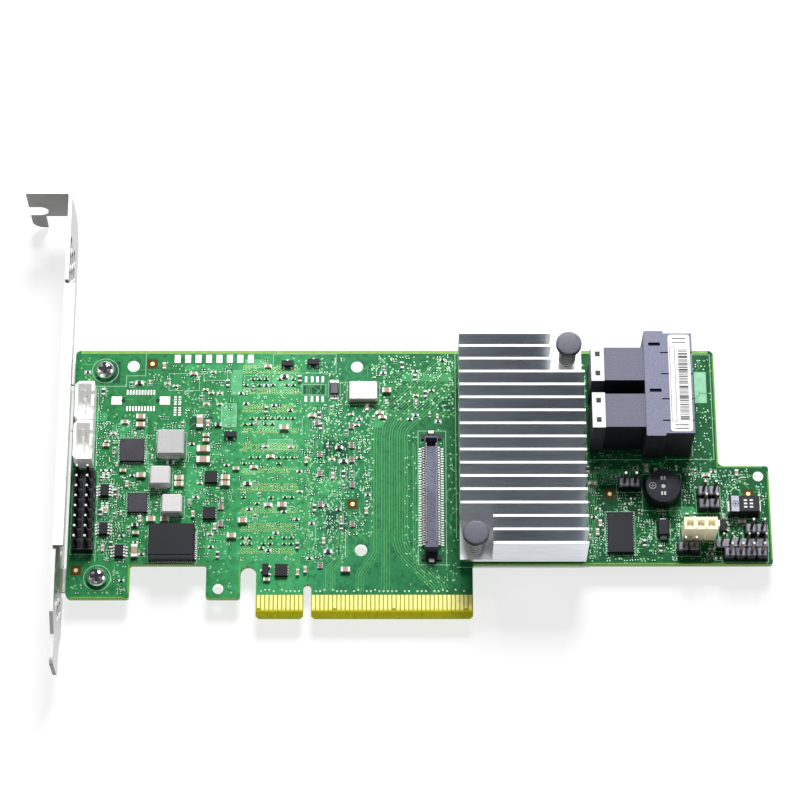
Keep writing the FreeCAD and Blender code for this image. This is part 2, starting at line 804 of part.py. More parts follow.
def build_bracket():
    """One folded sheet: a vented panel with a top flange, a stiffening lip and two mounting tabs."""
    bracket = new_body("bracket")
    thick = size.sheet_thick
    panel_foot = -size.shoulder_up
    page = page_on(bracket, "panel", "YZ_Plane", 0, 0, panel_outer)
    outline(
        page,
        [
            (panel_foot, panel_low + size.shoulder_cut),
            (panel_foot + size.shoulder_cut, panel_low),
            (panel_top, panel_low),
            (panel_top, panel_high),
            (panel_foot + size.shoulder_cut, panel_high),
            (panel_foot, panel_high - size.shoulder_cut),
            (-size.tongue_tip, panel_high - size.shoulder_cut),
            (-size.tongue_tip, panel_low + size.shoulder_cut),
        ],
    )
    pad(bracket, page, thick)
    flange_outer = panel_inner - size.flange_deep
    page = page_on(bracket, "flange", "XZ_Plane", flange_outer, panel_low, -panel_top)
    feature = pad(bracket, rectangle(page, size.flange_deep, size.panel_wide), thick)
    fold_outside = size.fold_round + thick
    feature = round_edges(bracket, feature, [(panel_inner, panel_top)], fold_outside)
    feature = round_edges(bracket, feature, [(panel_outer, panel_top - thick)], size.fold_round)
    spare = size.cut_spare
    page = page_on(bracket, "top_corner", "YZ_Plane", 0, 0, panel_outer - thick)
    corner_start = panel_top - size.top_corner_cut
    corner_end = panel_low + size.top_corner_cut
    outline(page, [(corner_start, panel_low), (panel_top, panel_low), (panel_top, corner_end)])
    pocket(bracket, page, thick * 2, True)
    window_left = flange_outer + size.hook_wide
    page = page_on(bracket, "hook_window", "XZ_Plane", window_left, panel_low, -panel_top)
    pocket(bracket, rectangle(page, panel_inner - window_left, size.hook_drop), thick * 2, True)
    slot_round = size.screw_slot_wide / 2
    slot_low = size.screw_slot_height - slot_round
    page = page_on(bracket, "screw_slot", "XZ_Plane", flange_outer, slot_low, -panel_top)
    pocket(bracket, rectangle(page, size.screw_slot_deep - slot_round, size.screw_slot_wide), thick, True)
    slot_end = flange_outer + size.screw_slot_deep - slot_round
    page = page_on(bracket, "screw_slot_end", "XZ_Plane", slot_end, size.screw_slot_height, -panel_top)
    feature = pocket(bracket, circle(page, size.screw_slot_wide), thick, True)
    feature = round_edges(bracket, feature, [(flange_outer, panel_low)], size.hook_wide * 0.8, "xz")
    lip_wide = size.lip_end - size.lip_start
    page = page_on(bracket, "lip", "XY_Plane", panel_inner, size.lip_start, panel_high - thick)
    feature = pad(bracket, rectangle(page, size.lip_deep, lip_wide), thick)
    tab_bottom = board_bottom - thick
    for number, middle in enumerate(screw_heights):
        low = middle - size.tab_wide / 2
        page = page_on(bracket, "tab_%d" % number, "XY_Plane", panel_inner, low, tab_bottom)
        feature = pad(bracket, rectangle(page, size.tab_long, size.tab_wide), thick)
    inner_folds = [(panel_inner, panel_high - thick), (panel_inner, board_bottom)]
    feature = round_edges(bracket, feature, inner_folds, size.fold_round, "xz")
    for name, low in (("low_relief", size.lip_start - size.relief_wide), ("high_relief", size.lip_end)):
        page = page_on(bracket, name, "YZ_Plane", low, panel_high - size.relief_deep, panel_inner)
        pocket(bracket, rectangle(page, size.relief_wide, size.relief_deep), thick)
    for number, middle in enumerate(screw_heights):
        low = middle - size.tab_wide / 2
        page = page_on(bracket, "tab_edge_%d" % number, "YZ_Plane", low, panel_low, panel_inner)
        pocket(bracket, rectangle(page, size.tab_wide, tab_bottom - panel_low), thick)
        for side, start in (("low", low - size.relief_wide), ("high", low + size.tab_wide)):
            page = page_on(bracket, "tab_relief_%s_%d" % (side, number), "YZ_Plane", start, panel_low, panel_inner)
            pocket(bracket, rectangle(page, size.relief_wide, board_bottom - panel_low), thick)
        page = page_on(bracket, "collar_%d" % number, "XY_Plane", screw_across, middle, tab_bottom)
        pad(bracket, many_sided(page, size.collar_wide), size.collar_tall, True)
        page = page_on(bracket, "thread_%d" % number, "XY_Plane", screw_across, middle, board_bottom)
        hole = size.screw_shank + size.thread_clear
        pocket(bracket, many_sided(page, hole), thick + size.collar_tall)
    tips = [(-size.tongue_tip, panel_low + size.shoulder_cut), (-size.tongue_tip, panel_high - size.shoulder_cut)]
    round_edges(bracket, bracket.Tip, tips, size.small_round * 2, "yz")
    half_pitch = size.vent_pitch / 2
    middle_height = (panel_low + panel_high) / 2
    low_vents = (
        (size.low_vent_up, middle_height + size.vent_row_gap),
        (size.low_vent_up, middle_height - size.vent_row_gap),
        (size.low_vent_up - half_pitch, middle_height),
        (size.low_vent_up + half_pitch, middle_height),
    )
    for number, (up, height) in enumerate(low_vents):
        page = page_on(bracket, "low_vent_%d" % number, "YZ_Plane", up, height, panel_inner)
        feature = pocket(bracket, hexagon(page, size.vent_across), thick)
    for row in range(3):
        start = size.vent_start + half_pitch * (row % 2)
        count = size.vent_count - (row % 2)
        height = size.vent_height + size.vent_row_gap * row
        page = page_on(bracket, "vent_%d" % row, "YZ_Plane", start, height, panel_inner)
        feature = pocket(bracket, hexagon(page, size.vent_across), thick)
        feature = repeat(bracket, feature, page, "H_Axis", count, size.vent_pitch)
    keep(bracket, "bracket")


def build_bracket_screws():
    """Pan head screws with a cross recess, seated on the board and threaded into the tabs."""
    screw = new_body("screw_form")
    head = size.screw_head / 2
    rim = size.screw_head_tall - size.screw_dome
    page = page_on(screw, "screw_profile", "XZ_Plane")
    outline(
        page,
        [
            (0, 0),
            (head, 0),
            (head, rim),
            (head * 0.70, size.screw_head_tall),
            (0, size.screw_head_tall),
        ],
    )
    turn(screw, page)
    page = page_on(screw, "screw_shank", "XY_Plane")
    pad(screw, many_sided(page, size.screw_shank), size.screw_long, True)
    half = size.cross_long / 2
    web = size.cross_wide / 2
    page = page_on(screw, "screw_cross", "XY_Plane", 0, 0, size.screw_head_tall)
    outline(
        page,
        [
            (-half, -web), (-web, -web), (-web, -half), (web, -half), (web, -web), (half, -web),
            (half, web), (web, web), (web, half), (-web, half), (-web, web), (-half, web),
        ],
    )
    pocket(screw, page, size.cross_deep)
    places = [(screw_across, up, 0) for up in screw_heights]
    group("bracket_screws", copies(screw, places))


def build_heat_sink():
    """An extruded plate of thin fins, with two corners cleared down to the plate for the pins."""
    sink = new_body("heat_sink")
    page = page_on(sink, "sink_plate", "XY_Plane", size.sink_left, size.sink_low, sink_bottom)
    pad(sink, rectangle(page, size.sink_long, size.sink_wide), size.sink_base)
    page = page_on(sink, "sink_fin", "XY_Plane", size.sink_left, size.sink_low, sink_floor)
    fin = pad(sink, rectangle(page, size.sink_long, size.fin_thick), size.fin_tall)
    fin_pitch = (size.sink_wide - size.fin_thick) / (size.fin_count - 1)
    repeat(sink, fin, page, "V_Axis", size.fin_count, fin_pitch)
    spare = size.cut_spare
    top = sink_floor + size.fin_tall
    page = page_on(sink, "low_corner", "XY_Plane", size.sink_left - spare, size.sink_low - spare, top)
    pocket(sink, rectangle(page, size.low_corner_long + spare, size.corner_wide + spare), size.fin_tall)
    left = sink_right - size.high_corner_long
    low = sink_high - size.corner_wide
    page = page_on(sink, "high_corner", "XY_Plane", left, low, top)
    pocket(sink, rectangle(page, size.high_corner_long + spare, size.corner_wide + spare), size.fin_tall)
    for number, (across, up) in enumerate(pin_places):
        page = page_on(sink, "pin_hole_%d" % number, "XY_Plane", across, up, sink_floor)
        pocket(sink, many_sided(page, size.pin_shank + size.pin_clear * 2), size.sink_base)
    keep(sink, "heat_sink")


def spring_shape(across, up, bottom):
    """A coil of square wire whose path turns in short straight runs."""
    wire = float(size.spring_wire)
    radius = (float(size.spring_wide) - wire) / 2
    runs = int(size.spring_runs)
    count = int(float(size.spring_turns) * runs)
    rise = (float(size.pin_above_base) - wire * 2) / count
    start = Vector(float(across), float(up), float(bottom) + wire)
    path = []
    for number in range(count + 1):
        angle = 2 * math.pi * number / runs
        path.append(start + Vector(radius * math.cos(angle), radius * math.sin(angle), rise * number))
    half = wire / 2
    corners = [(-half, -half), (half, -half), (half, half), (-half, half)]
    points = [path[0] + Vector(right, 0, high) for right, high in corners]
    section = Part.makePolygon(points + points[:1])
    shell = Part.BRepOffsetAPI.MakePipeShell(Part.makePolygon(path))
    shell.setTransitionMode(1)
    shell.setFrenetMode(False)
    shell.add(section, False, True)
    shell.build()
    shell.makeSolid()
    return shell.shape()


def build_push_pins():
    """Moulded pins with a flat head and a split barb that catches under the board."""
    pin = new_body("push_pin_form")
    neck = sink_floor + size.pin_above_base
    barb_top = board_bottom - size.barb_gap
    page = page_on(pin, "push_pin_stem", "XY_Plane", 0, 0, neck)
    pad(pin, many_sided(page, size.pin_shank), neck - barb_top, True)
    page = page_on(pin, "push_pin_barb", "XY_Plane", 0, 0, barb_top)
    tip_page = page_on(pin, "push_pin_tip", "XY_Plane", 0, 0, barb_top - size.barb_tip)
    many_sided(tip_page, size.pin_shank * 0.7)
    loft = pin.newObject("PartDesign::AdditiveLoft", "push_pin_barb_loft")
    loft.Profile = many_sided(page, size.barb_wide)
    loft.Sections = [tip_page]
    loft.Ruled = True
    page = page_on(pin, "push_pin_head", "XZ_Plane", 0, neck, 0)
    head = size.pin_head / 2
    tall = size.pin_head_tall
    turn(pin, outline(page, [(0, 0), (head, 0), (head * 0.94, tall), (0, tall)]))
    split = size.barb_split
    page = page_on(pin, "push_pin_split", "XZ_Plane", -split / 2, barb_top - size.barb_tip, -size.barb_wide)
    split_tall = size.barb_tip + size.board_thick
    pocket(pin, rectangle(page, split, split_tall), size.barb_wide * 2, True)
    places = [(across, up, 0) for across, up in pin_places]
    group("push_pins", copies(pin, places))
    lift = sink_floor
    group("push_pin_springs", [spring_shape(across, up, lift) for across, up in pin_places])


def build_controller():
    """The controller package, its bare die and the pad that carries heat into the plate."""
    across, up = sink_middle
    base = centred_cuboid("controller_package", size.package_long, size.package_long, size.package_tall, across, up, 0)
    keep(base, "controller_package")
    die = centred_cuboid("controller_die", size.die_long, size.die_wide, size.die_tall, across, up, size.package_tall)
    keep(die, "controller_die")
    soft = centred_cuboid("thermal_pad", size.pad_long, size.pad_long, size.pad_tall, across, up, package_top)
    keep(soft, "thermal_pad")


def build_drive_cage():
    """The shared front housing of the two drive sockets, open to the card's end."""
    cage = new_body("drive_cage")
    page = page_on(cage, "cage_rear", "XY_Plane", cage_left, size.cage_low, 0)
    pad(cage, rectangle(page, cage_step - cage_left, size.cage_high - size.cage_low), size.cage_tall)
    low = size.cage_low + size.cage_inset
    high = size.cage_high - size.cage_inset
    page = page_on(cage, "cage_mouth", "XY_Plane", cage_step, low, 0)
    feature = pad(cage, rectangle(page, cage_front - cage_step, high - low), size.cage_tall)
    corners = [
        (cage_left, size.cage_low),
        (cage_left, size.cage_high),
        (cage_step, size.cage_low),
        (cage_step, size.cage_high),
    ]
    round_edges(cage, feature, corners, size.cage_round * 0.5)
    for number, middle in enumerate(port_middles):
        port_left = middle - size.port_wide / 2
        page = page_on(cage, "port_%d" % number, "YZ_Plane", port_left, size.port_floor, cage_front)
        pocket(cage, rectangle(page, size.port_wide, size.port_tall), cage_front - cage_left)
        roof = size.cage_tall - size.port_floor - size.port_tall
        for side, offset in (("low", -size.latch_wide), ("high", size.latch_wide)):
            start = middle + offset / 2 - size.latch_gap / 2
            page = page_on(cage, "latch_gap_%s_%d" % (side, number), "XY_Plane", latch_back, start, size.cage_tall)
            pocket(cage, rectangle(page, cage_front - latch_back, size.latch_gap), roof)
        catch_low = middle + size.catch_offset - size.catch_wide / 2
        page = page_on(cage, "catch_%d" % number, "XY_Plane", latch_back - size.catch_long, catch_low, size.cage_tall)
        pocket(cage, rectangle(page, size.catch_long, size.catch_wide), size.catch_deep)
    keep(cage, "drive_cage")


def build_drive_receptacles():
    """Each receptacle is a block behind the cage with a slotted nose inside the port."""
    slot_heights = [size.port_floor + size.port_tall / 2 + side * size.slot_gap / 2 for side in (-1, 1)]
    shapes = []
    contacts = []
    for number, middle in enumerate(port_middles):
        block = centred_cuboid(
            "receptacle_block_%d" % number,
            cage_left - rear_left,
            size.rear_wide,
            size.rear_tall,
            (cage_left + rear_left) / 2,
            middle,
            0,
        )
        nose_wide = size.port_wide - size.nose_clear * 2
        nose = centred_cuboid(
            "receptacle_nose_%d" % number,
            nose_front - cage_left,
            nose_wide,
            size.port_tall - size.nose_clear * 2,
            (nose_front + cage_left) / 2,
            middle,
            size.port_floor + size.nose_clear,
        )
        slots = [
            cuboid(
                "receptacle_slot_%d_%d" % (number, row),
                size.slot_deep + size.cut_spare,
                size.slot_wide,
                size.slot_tall,
                nose_front - size.slot_deep,
                middle - size.slot_wide / 2,
                height - size.slot_tall / 2,
            )
            for row, height in enumerate(slot_heights)
        ]
        whole = fuse("receptacle_whole_%d" % number, block, nose)
        shapes.append(cut("receptacle_%d" % number, whole, *slots))
        thick = size.drive_contact_thick
        for height in slot_heights:
            for bottom in (height - size.slot_tall / 2, height + size.slot_tall / 2 - thick):
                for step in spread(size.drive_contacts, size.drive_contact_pitch):
                    across = nose_front - size.slot_deep / 2
                    up = middle + step
                    contacts.append(brick(size.slot_deep, size.drive_contact_wide, thick, across, up, bottom))
    document.recompute()
    group("drive_receptacles", [item.Shape for item in shapes])
    group("drive_contacts", contacts)


def build_drive_covers():
    """White terminal covers behind the receptacles, each with two shallow windows."""
    shapes = []
    for number, middle in enumerate(port_middles):
        long = rear_left - cover_left
        across = (rear_left + cover_left) / 2
        block = centred_cuboid("cover_block_%d" % number, long, size.cover_wide, size.cover_tall, across, middle, 0)
        windows = [
            centred_cuboid(
                "cover_window_%d_%d" % (number, side),
                size.cover_window,
                size.cover_window,
                size.cover_window_deep,
                across,
                middle + side * size.cover_window_gap / 2,
                size.cover_tall - size.cover_window_deep,
            )
            for side in (-1, 1)
        ]
        shapes.append(cut("cover_%d" % number, block, *windows))
    document.recompute()
    group("drive_covers", [item.Shape for item in shapes])


def build_label():
    """The paper label on the cage's roof."""
    label = new_body("cage_label")
    low = size.cage_low + size.cage_inset + size.label_margin * 0.5
    high = size.cage_high - size.cage_inset - size.label_margin * 0.5
    right = cage_front - size.label_setback
    left = right - size.label_long
    page = page_on(label, "label_outline", "XY_Plane", left, low, size.cage_tall)
    feature = pad(label, rectangle(page, size.label_long, high - low), size.label_thick)
    corners = [(across, up) for across in (left, right) for up in (low, high)]
    bevel_edges(label, feature, corners, size.label_corner)
    keep(label, "cage_label")


def build_mezzanine_socket():
    """An upright board-to-board socket: a ridge between two long slots and a deep pocket at one end."""
    across, up = size.mezzanine_across, size.mezzanine_up
    wide, long, tall = size.mezzanine_wide, size.mezzanine_long, size.mezzanine_tall
    block = centred_cuboid("mezzanine_block", wide, long, tall, across, up, 0)
    inner_wide = size.ridge_wide + size.ridge_slot * 2
    pocket_long = size.end_pocket_long
    pocket_middle = up + long / 2 - size.end_wall - pocket_long / 2
    slot_long = long - size.end_wall * 3 - pocket_long
    slot_middle = pocket_middle - (pocket_long + slot_long) / 2
    slot_deep, pocket_deep = size.ridge_slot_deep, size.end_pocket_deep
    tools = [
        centred_cuboid(
            "mezzanine_pocket", inner_wide, pocket_long, pocket_deep, across, pocket_middle, tall - pocket_deep
        )
    ]
    for side in (-1, 1):
        right = across + side * (size.ridge_wide + size.ridge_slot) / 2
        name = "mezzanine_slot_%d" % side
        tools.append(
            centred_cuboid(name, size.ridge_slot, slot_long, slot_deep, right, slot_middle, tall - slot_deep)
        )
    keep(cut("mezzanine_socket", block, *tools), "mezzanine_socket")
    reach = (wide + size.mezzanine_lead_long) / 2
    foot = (size.mezzanine_lead_long, size.mezzanine_lead_wide, size.mezzanine_lead_thick)
    shapes = [
        brick(*foot, across + side * reach, up + step, 0)
        for side in (-1, 1)
        for step in spread(size.mezzanine_leads, size.mezzanine_pitch)
    ]
    group("mezzanine_leads", shapes)
    locks = []
    for side in (-1, 1):
        middle = up + side * (long + size.lock_long) / 2
        tongue = brick(size.lock_tongue, size.lock_long, size.lock_thick, across, middle, 0)
        wings = brick(size.lock_wide, size.lock_long / 2, size.lock_thick, across, middle, 0)
        boss = brick(size.lock_boss, size.lock_boss, size.lock_boss_tall, across, middle + side * size.lock_thick, 0)
        locks.append(tongue.fuse([wings, boss]).removeSplitter())
    group("mezzanine_locks", locks)


def header_strip(across, up, columns, rows, pitch, base):
    """A header's moulding, with a notch between each pin and the next along its long sides."""
    bite = float(size.cell_cut)
    half_long = rows * pitch / 2
    half_wide = columns * pitch / 2
    right_side = []
    for step in spread(rows - 1, pitch):
        right_side += [(half_wide, step - bite), (half_wide - bite, step), (half_wide, step + bite)]
    right_side = [(half_wide, -half_long)] + right_side + [(half_wide, half_long)]
    ring = right_side + [(-right, -high) for right, high in right_side]
    corners = [Vector(float(across) + right, float(up) + high, 0) for right, high in ring]
    return Part.Face(Part.makePolygon(corners + corners[:1])).extrude(Vector(0, 0, base))


def pin_row(places, square, top):
    """Square pins from their tails under the board to their tips; their holes are noted for the board."""
    bottom = board_bottom - size.pin_tail
    through_pins.extend((across, up, square + size.pin_hole_clear) for across, up in places)
    return [brick(square, square, top - bottom, across, up, bottom) for across, up in places]


def grid(across, up, columns, rows, pitch):
    """Places of a header's pins."""
    return [(across + right, up + high) for right in spread(columns, pitch) for high in spread(rows, pitch)]


def turned(shape, across, up):
    """A shape turned by a quarter about the upright line through a place."""
    copy = shape.copy()
    copy.rotate(Vector(float(across), float(up), 0), Vector(0, 0, 1), 90)
    return copy


def pierced(bodies, pins):
    """Each body with the pins that run through it taken out."""
    return [body.cut(Part.makeCompound(pins)) for body in bodies]


def build_headers():
    """Straight pin headers in rows of two, four and six, and one of two columns."""
    pitch = float(size.pin_pitch)
    fine = float(size.fine_pitch)
    base = float(size.pin_base)
    rows = [(across, up, 2, pitch, size.pin_square, base) for across, up in sites("jumper", board_right)]
    rows.append((board_right - size.long_header_inset, size.long_header_up, int(size.long_header_pins), pitch, size.pin_square, base))
    rows.append((board_right - size.fine_header_inset, size.fine_header_up, int(size.fine_header_pins), fine, size.fine_square, fine))
    strips = []
    pins = []
    for across, up, count, step, square, tall in rows:
        pins += pin_row(grid(across, up, count, 1, step), square, size.pin_top)
        strips.append(turned(header_strip(across, up, 1, count, step, tall), across, up))
    group("jumper_headers", pierced(strips, pins))
    group("jumper_pins", pins)
    place = (board_left + size.key_header_inset, size.key_header_up, 2, int(size.key_header_rows), pitch)
    pins = pin_row(grid(*place), size.pin_square, size.pin_top)
    group("key_header", pierced([header_strip(*place, base)], pins))
    group("key_header_pins", pins)


def build_signal_sockets():
    """Two white shrouded sockets by the bracket, open at the top, with a notch in one wall."""
    shapes = []
    pins = []
    for number, (across, up) in enumerate(sites("socket", board_left)):
        shell = new_body("socket_shell_%d" % number)
        left = across - size.socket_wide / 2
        low = up - size.socket_long / 2
        page = page_on(shell, "socket_outline_%d" % number, "XY_Plane", left, low, 0)
        feature = pad(shell, rectangle(page, size.socket_wide, size.socket_long), size.socket_tall)
        corners = [(left, low), (left, low + size.socket_long)]
        bevel_edges(shell, feature, corners, size.socket_chamfer)
        wall = size.socket_wall
        page = page_on(shell, "socket_well_%d" % number, "XY_Plane", left + wall, low + wall, size.socket_tall)
        well = rectangle(page, size.socket_wide - wall * 2, size.socket_long - wall * 2)
        pocket(shell, well, size.socket_tall - size.socket_floor)
        notch_left = left + size.socket_wide - wall
        for side in (-1, 1):
            start = up + side * size.socket_pitch - size.socket_notch_wide / 2
            name = "socket_notch_%d_%d" % (number, side)
            page = page_on(shell, name, "XY_Plane", notch_left, start, size.socket_tall)
            pocket(shell, rectangle(page, wall, size.socket_notch_wide), size.socket_notch_deep)
        document.recompute()
        shapes.append(shell.Shape.copy())
        pins += pin_row(grid(across, up, 1, size.socket_pins, size.socket_pitch), size.socket_pin, size.socket_pin_top)
    group("signal_sockets", pierced(shapes, pins))
    group("signal_pins", pins)


def build_sensor_socket():
    """A tall cream socket with one well for each pin and slits between the wells."""
    across, up = board_right - size.sensor_inset, size.sensor_up
    block = centred_cuboid("sensor_block", size.sensor_long, size.sensor_wide, size.sensor_tall, across, up, 0)
    ear = centred_cuboid(
        "sensor_ear",
        size.sensor_ear,
        size.sensor_wide * 0.5,
        size.sensor_ear_tall,
        across + size.sensor_long / 2 + size.sensor_ear / 2,
        up,
        size.sensor_tall - size.sensor_ear_tall,
    )
    whole = fuse("sensor_whole", block, ear)
    tools = []
    for number, step in enumerate(spread(size.sensor_pins, 1)):
        middle = across + step * size.pin_pitch
        tools.append(
            centred_cuboid(
                "sensor_well_%d" % number,
                size.sensor_well_wide,
                size.sensor_well_long,
                size.sensor_well_deep,
                middle,
                up,
                size.sensor_tall - size.sensor_well_deep,
            )
        )
    for number, step in enumerate(spread(size.sensor_pins - 1, 1)):
        middle = across + step * size.pin_pitch
        front = up - size.sensor_wide / 2
        tools.append(
            cuboid(
                "sensor_slit_%d" % number,
                size.sensor_slit,
                size.sensor_slit_deep,
                size.sensor_tall,
                middle - size.sensor_slit / 2,
                front,
                0,
            )
        )
    moulding = cut("sensor_moulding", whole, *tools)
    places = grid(across, up, size.sensor_pins, 1, size.pin_pitch)
    pins = pin_row(places, size.pin_square, size.sensor_tall - size.sensor_pin_depth)
    document.recompute()
    group("sensor_socket", pierced([moulding.Shape], pins))
    group("sensor_pins", pins)


def build_buzzer():
    """A round sounder with a sound hole in its lid."""
    buzzer = new_body("buzzer")
    radius = size.buzzer_wide / 2
    hole = size.buzzer_hole / 2
    page = page_on(buzzer, "buzzer_profile", "XZ_Plane", board_right - size.buzzer_inset, 0, -size.buzzer_up)
    outline(
        page,
        [
            (0, 0),
            (radius, 0),
            (radius, size.buzzer_tall - size.buzzer_round),
            (radius - size.buzzer_round, size.buzzer_tall),
            (hole, size.buzzer_tall),
            (hole, size.buzzer_tall - size.buzzer_hole_deep),
            (0, size.buzzer_tall - size.buzzer_hole_deep),
        ],
    )
    turn(buzzer, page)
    keep(buzzer, "buzzer")


def build_chips():
    """Memory under the board, and the flash, charger, driver and small chips on top."""
    bottom = board_bottom - size.memory_tall
    rows = [size.memory_low + size.memory_pitch * number for number in range(int(size.memory_count))]
    shapes = [
        brick(size.memory_long, size.memory_wide, size.memory_tall, size.memory_across, up, bottom) for up in rows
    ]
    group("memory_chips", shapes)
    flash = (size.flash_long, size.flash_wide, size.flash_tall, size.flash_across, size.flash_up)
    keep(centred_cuboid("flash_chip", *flash, 0), "flash_chip")
    charger = (size.charger_long, size.charger_long, size.charger_tall, size.charger_across, size.charger_up)
    keep(centred_cuboid("charger_chip", *charger, 0), "charger_chip")
    driver = (size.driver_long, size.driver_wide, size.charger_tall, size.driver_across, size.driver_up)
    keep(centred_cuboid("driver_chip", *driver, 0), "driver_chip")
    small = size.small_chip_long
    places = sites("small_chip")
    group("small_chips", [brick(small, small, size.small_chip_tall, across, up, 0) for across, up in places])


def build_power_module():
    """A tall sealed power module."""
    across, up = size.module_across, size.module_up
    long, wide = size.module_long, size.module_wide
    keep(centred_cuboid("power_module", long, wide, size.module_tall, across, up, 0), "power_module")


def build_small_packages():
    """Small outline chips and transistors with their leads."""
    lift = size.logic_lift
    tall = size.logic_tall
    bodies = []
    leads = []
    for across, up in sites("logic", board_left):
        bodies.append(brick(size.logic_long, size.logic_wide, tall, across, up, lift))
        for sign in (-1, 1):
            middle = across + sign * (size.logic_long + size.logic_lead_out) / 2
            for step in spread(4, size.logic_pitch):
                leads.append(
                    brick(size.logic_lead_out, size.logic_lead_wide, size.logic_lead_thick, middle, up + step, 0)
                )
    for across, up in sites("tall_logic"):
        bodies.append(brick(size.logic_long, size.logic_wide, tall, across, up, lift))
        for sign in (-1, 1):
            middle = up + sign * (size.logic_wide + size.logic_lead_out) / 2
            for step in spread(4, size.logic_pitch * 0.7):
                leads.append(
                    brick(size.logic_lead_wide, size.logic_lead_out, size.logic_lead_thick, across + step, middle, 0)
                )
    group("logic_chips", bodies)
    group("logic_leads", leads)
    bodies = []
    leads = []
    long, wide = size.transistor_long, size.transistor_wide
    lead, out = size.transistor_lead_wide, size.transistor_lead_out
    thick = size.logic_lead_thick
    for across, up in sites("transistor"):
        bodies.append(brick(long, wide, size.transistor_tall, across, up, lift))
        leads.append(brick(lead, out, thick, across, up + (wide + out) / 2, 0))
        for sign in (-1, 1):
            leads.append(brick(lead, out, thick, across + sign * long * 0.33, up - (wide + out) / 2, 0))
    for across, up in sites("upright_transistor") + sites("far_transistor", board_right):
        bodies.append(brick(wide, long, size.transistor_tall, across, up, lift))
        leads.append(brick(out, lead, thick, across - (wide + out) / 2, up, 0))
        for sign in (-1, 1):
            leads.append(brick(out, lead, thick, across + (wide + out) / 2, up + sign * long * 0.33, 0))
    group("transistors", bodies)
    group("transistor_leads", leads)


def build_coils():
    """Square shielded inductors with cut corners."""
    big = new_body("large_inductor")
    half = size.large_coil_long / 2
    left, low = size.large_coil_across - half, size.large_coil_up - half
    page = page_on(big, "large_coil_outline", "XY_Plane", left, low, 0)
    feature = pad(big, rectangle(page, size.large_coil_long, size.large_coil_long), size.large_coil_tall)
    corners = [(x, y) for x in (left, left + half * 2) for y in (low, low + half * 2)]
    bevel_edges(big, feature, corners, size.coil_corner)
    keep(big, "large_inductor")
    small = new_body("small_inductor_form")
    half = size.small_coil_long / 2
    page = page_on(small, "small_coil_outline", "XY_Plane", -half, -half, 0)
    feature = pad(small, rectangle(page, size.small_coil_long, size.small_coil_long), size.small_coil_tall)
    corners = [(x, y) for x in (-half, half) for y in (-half, half)]
    bevel_edges(small, feature, corners, size.coil_corner)
    group("small_inductors", copies(small, [(across, up, 0) for across, up in sites("small_coil")]))


def build_crystal():
    """A ceramic base with a metal lid."""
    across, up = size.crystal_across, size.crystal_up
    base = centred_cuboid("crystal_base", size.crystal_long, size.crystal_wide, size.crystal_base, across, up, 0)
    keep(base, "crystal_base")
    lid = new_body("crystal_lid")
    long = size.crystal_long - size.crystal_inset * 2
    wide = size.crystal_wide - size.crystal_inset * 2
    left, low = across - long / 2, up - wide / 2
    page = page_on(lid, "crystal_outline", "XY_Plane", left, low, size.crystal_base)
    feature = pad(lid, rectangle(page, long, wide), size.crystal_tall)
    corners = [(x, y) for x in (left, left + long) for y in (low, low + wide)]
    bevel_edges(lid, feature, corners, size.crystal_corner)
    keep(lid, "crystal_lid")


def build_diode():
    """A moulded diode with a solder tab at each end."""
    across, up = board_right - size.diode_inset, size.diode_up
    body = centred_cuboid("diode", size.diode_wide, size.diode_long, size.diode_tall, across, up, 0)
    keep(body, "diode")
    shapes = []
    for sign in (-1, 1):
        middle = up + sign * (size.diode_long + size.diode_tab) / 2
        shapes.append(brick(size.diode_tab_wide, size.diode_tab, size.diode_tab_tall, across, middle, 0))
    group("diode_tabs", shapes)


def build_tank_capacitor():
    """A moulded block with drafted sides and a bent tab at each end."""
    across, up = board_right - size.tank_inset, size.tank_up
    body = new_body("tank_capacitor")
    waist = size.tank_tall * 0.5
    draft = size.tank_draft
    half = size.tank_long / 2
    page = page_on(body, "tank_profile", "XZ_Plane", across, 0, -(up + size.tank_wide / 2))
    outline(
        page,
        [
            (-half + draft, 0),
            (half - draft, 0),
            (half, waist),
            (half - draft, size.tank_tall),
            (-half + draft, size.tank_tall),
            (-half, waist),
        ],
    )
    pad(body, page, size.tank_wide, False)
    keep(body, "tank_capacitor")
    shapes = []
    foot = float(size.tank_foot)
    for sign in (-1, 1):
        reach = float(half) - float(draft) * 0
        start = float(across) + sign * reach
        plate = brick(foot, size.tank_foot_wide, size.tank_foot_tall, start + sign * foot / 2, up, 0)
        shapes.append(plate)
    group("tank_tabs", shapes)


def build_capacitors():
    """Chip capacitors in two sizes on top, and a grid of small ones behind the controller."""
    long, wide, tall = [getattr(size, "large_capacitor" + part) for part in ("_long", "_wide", "_tall")]
    shapes = [brick(long, wide, tall, across, up, 0) for across, up in sites("large_capacitor")]
    shapes += [brick(wide, long, tall, across, up, 0) for across, up in sites("large_upright_capacitor")]
    middle = [getattr(size, "middle_capacitor" + part) for part in ("_long", "_wide", "_tall")]
    shapes += [brick(*middle, across, up, 0) for across, up in sites("middle_capacitor")]
    group("ceramic_capacitors", shapes)
    across, up = sink_middle
    small = [getattr(size, "small_capacitor" + part) for part in ("_long", "_wide", "_tall")]
    bottom = board_bottom - size.small_capacitor_tall
    under = [
        brick(*small, across + right, up + high, bottom)
        for right in spread(size.under_capacitor_columns, size.under_capacitor_pitch)
        for high in spread(size.under_capacitor_rows, size.under_capacitor_pitch)
    ]
    group("underside_capacitors", under)


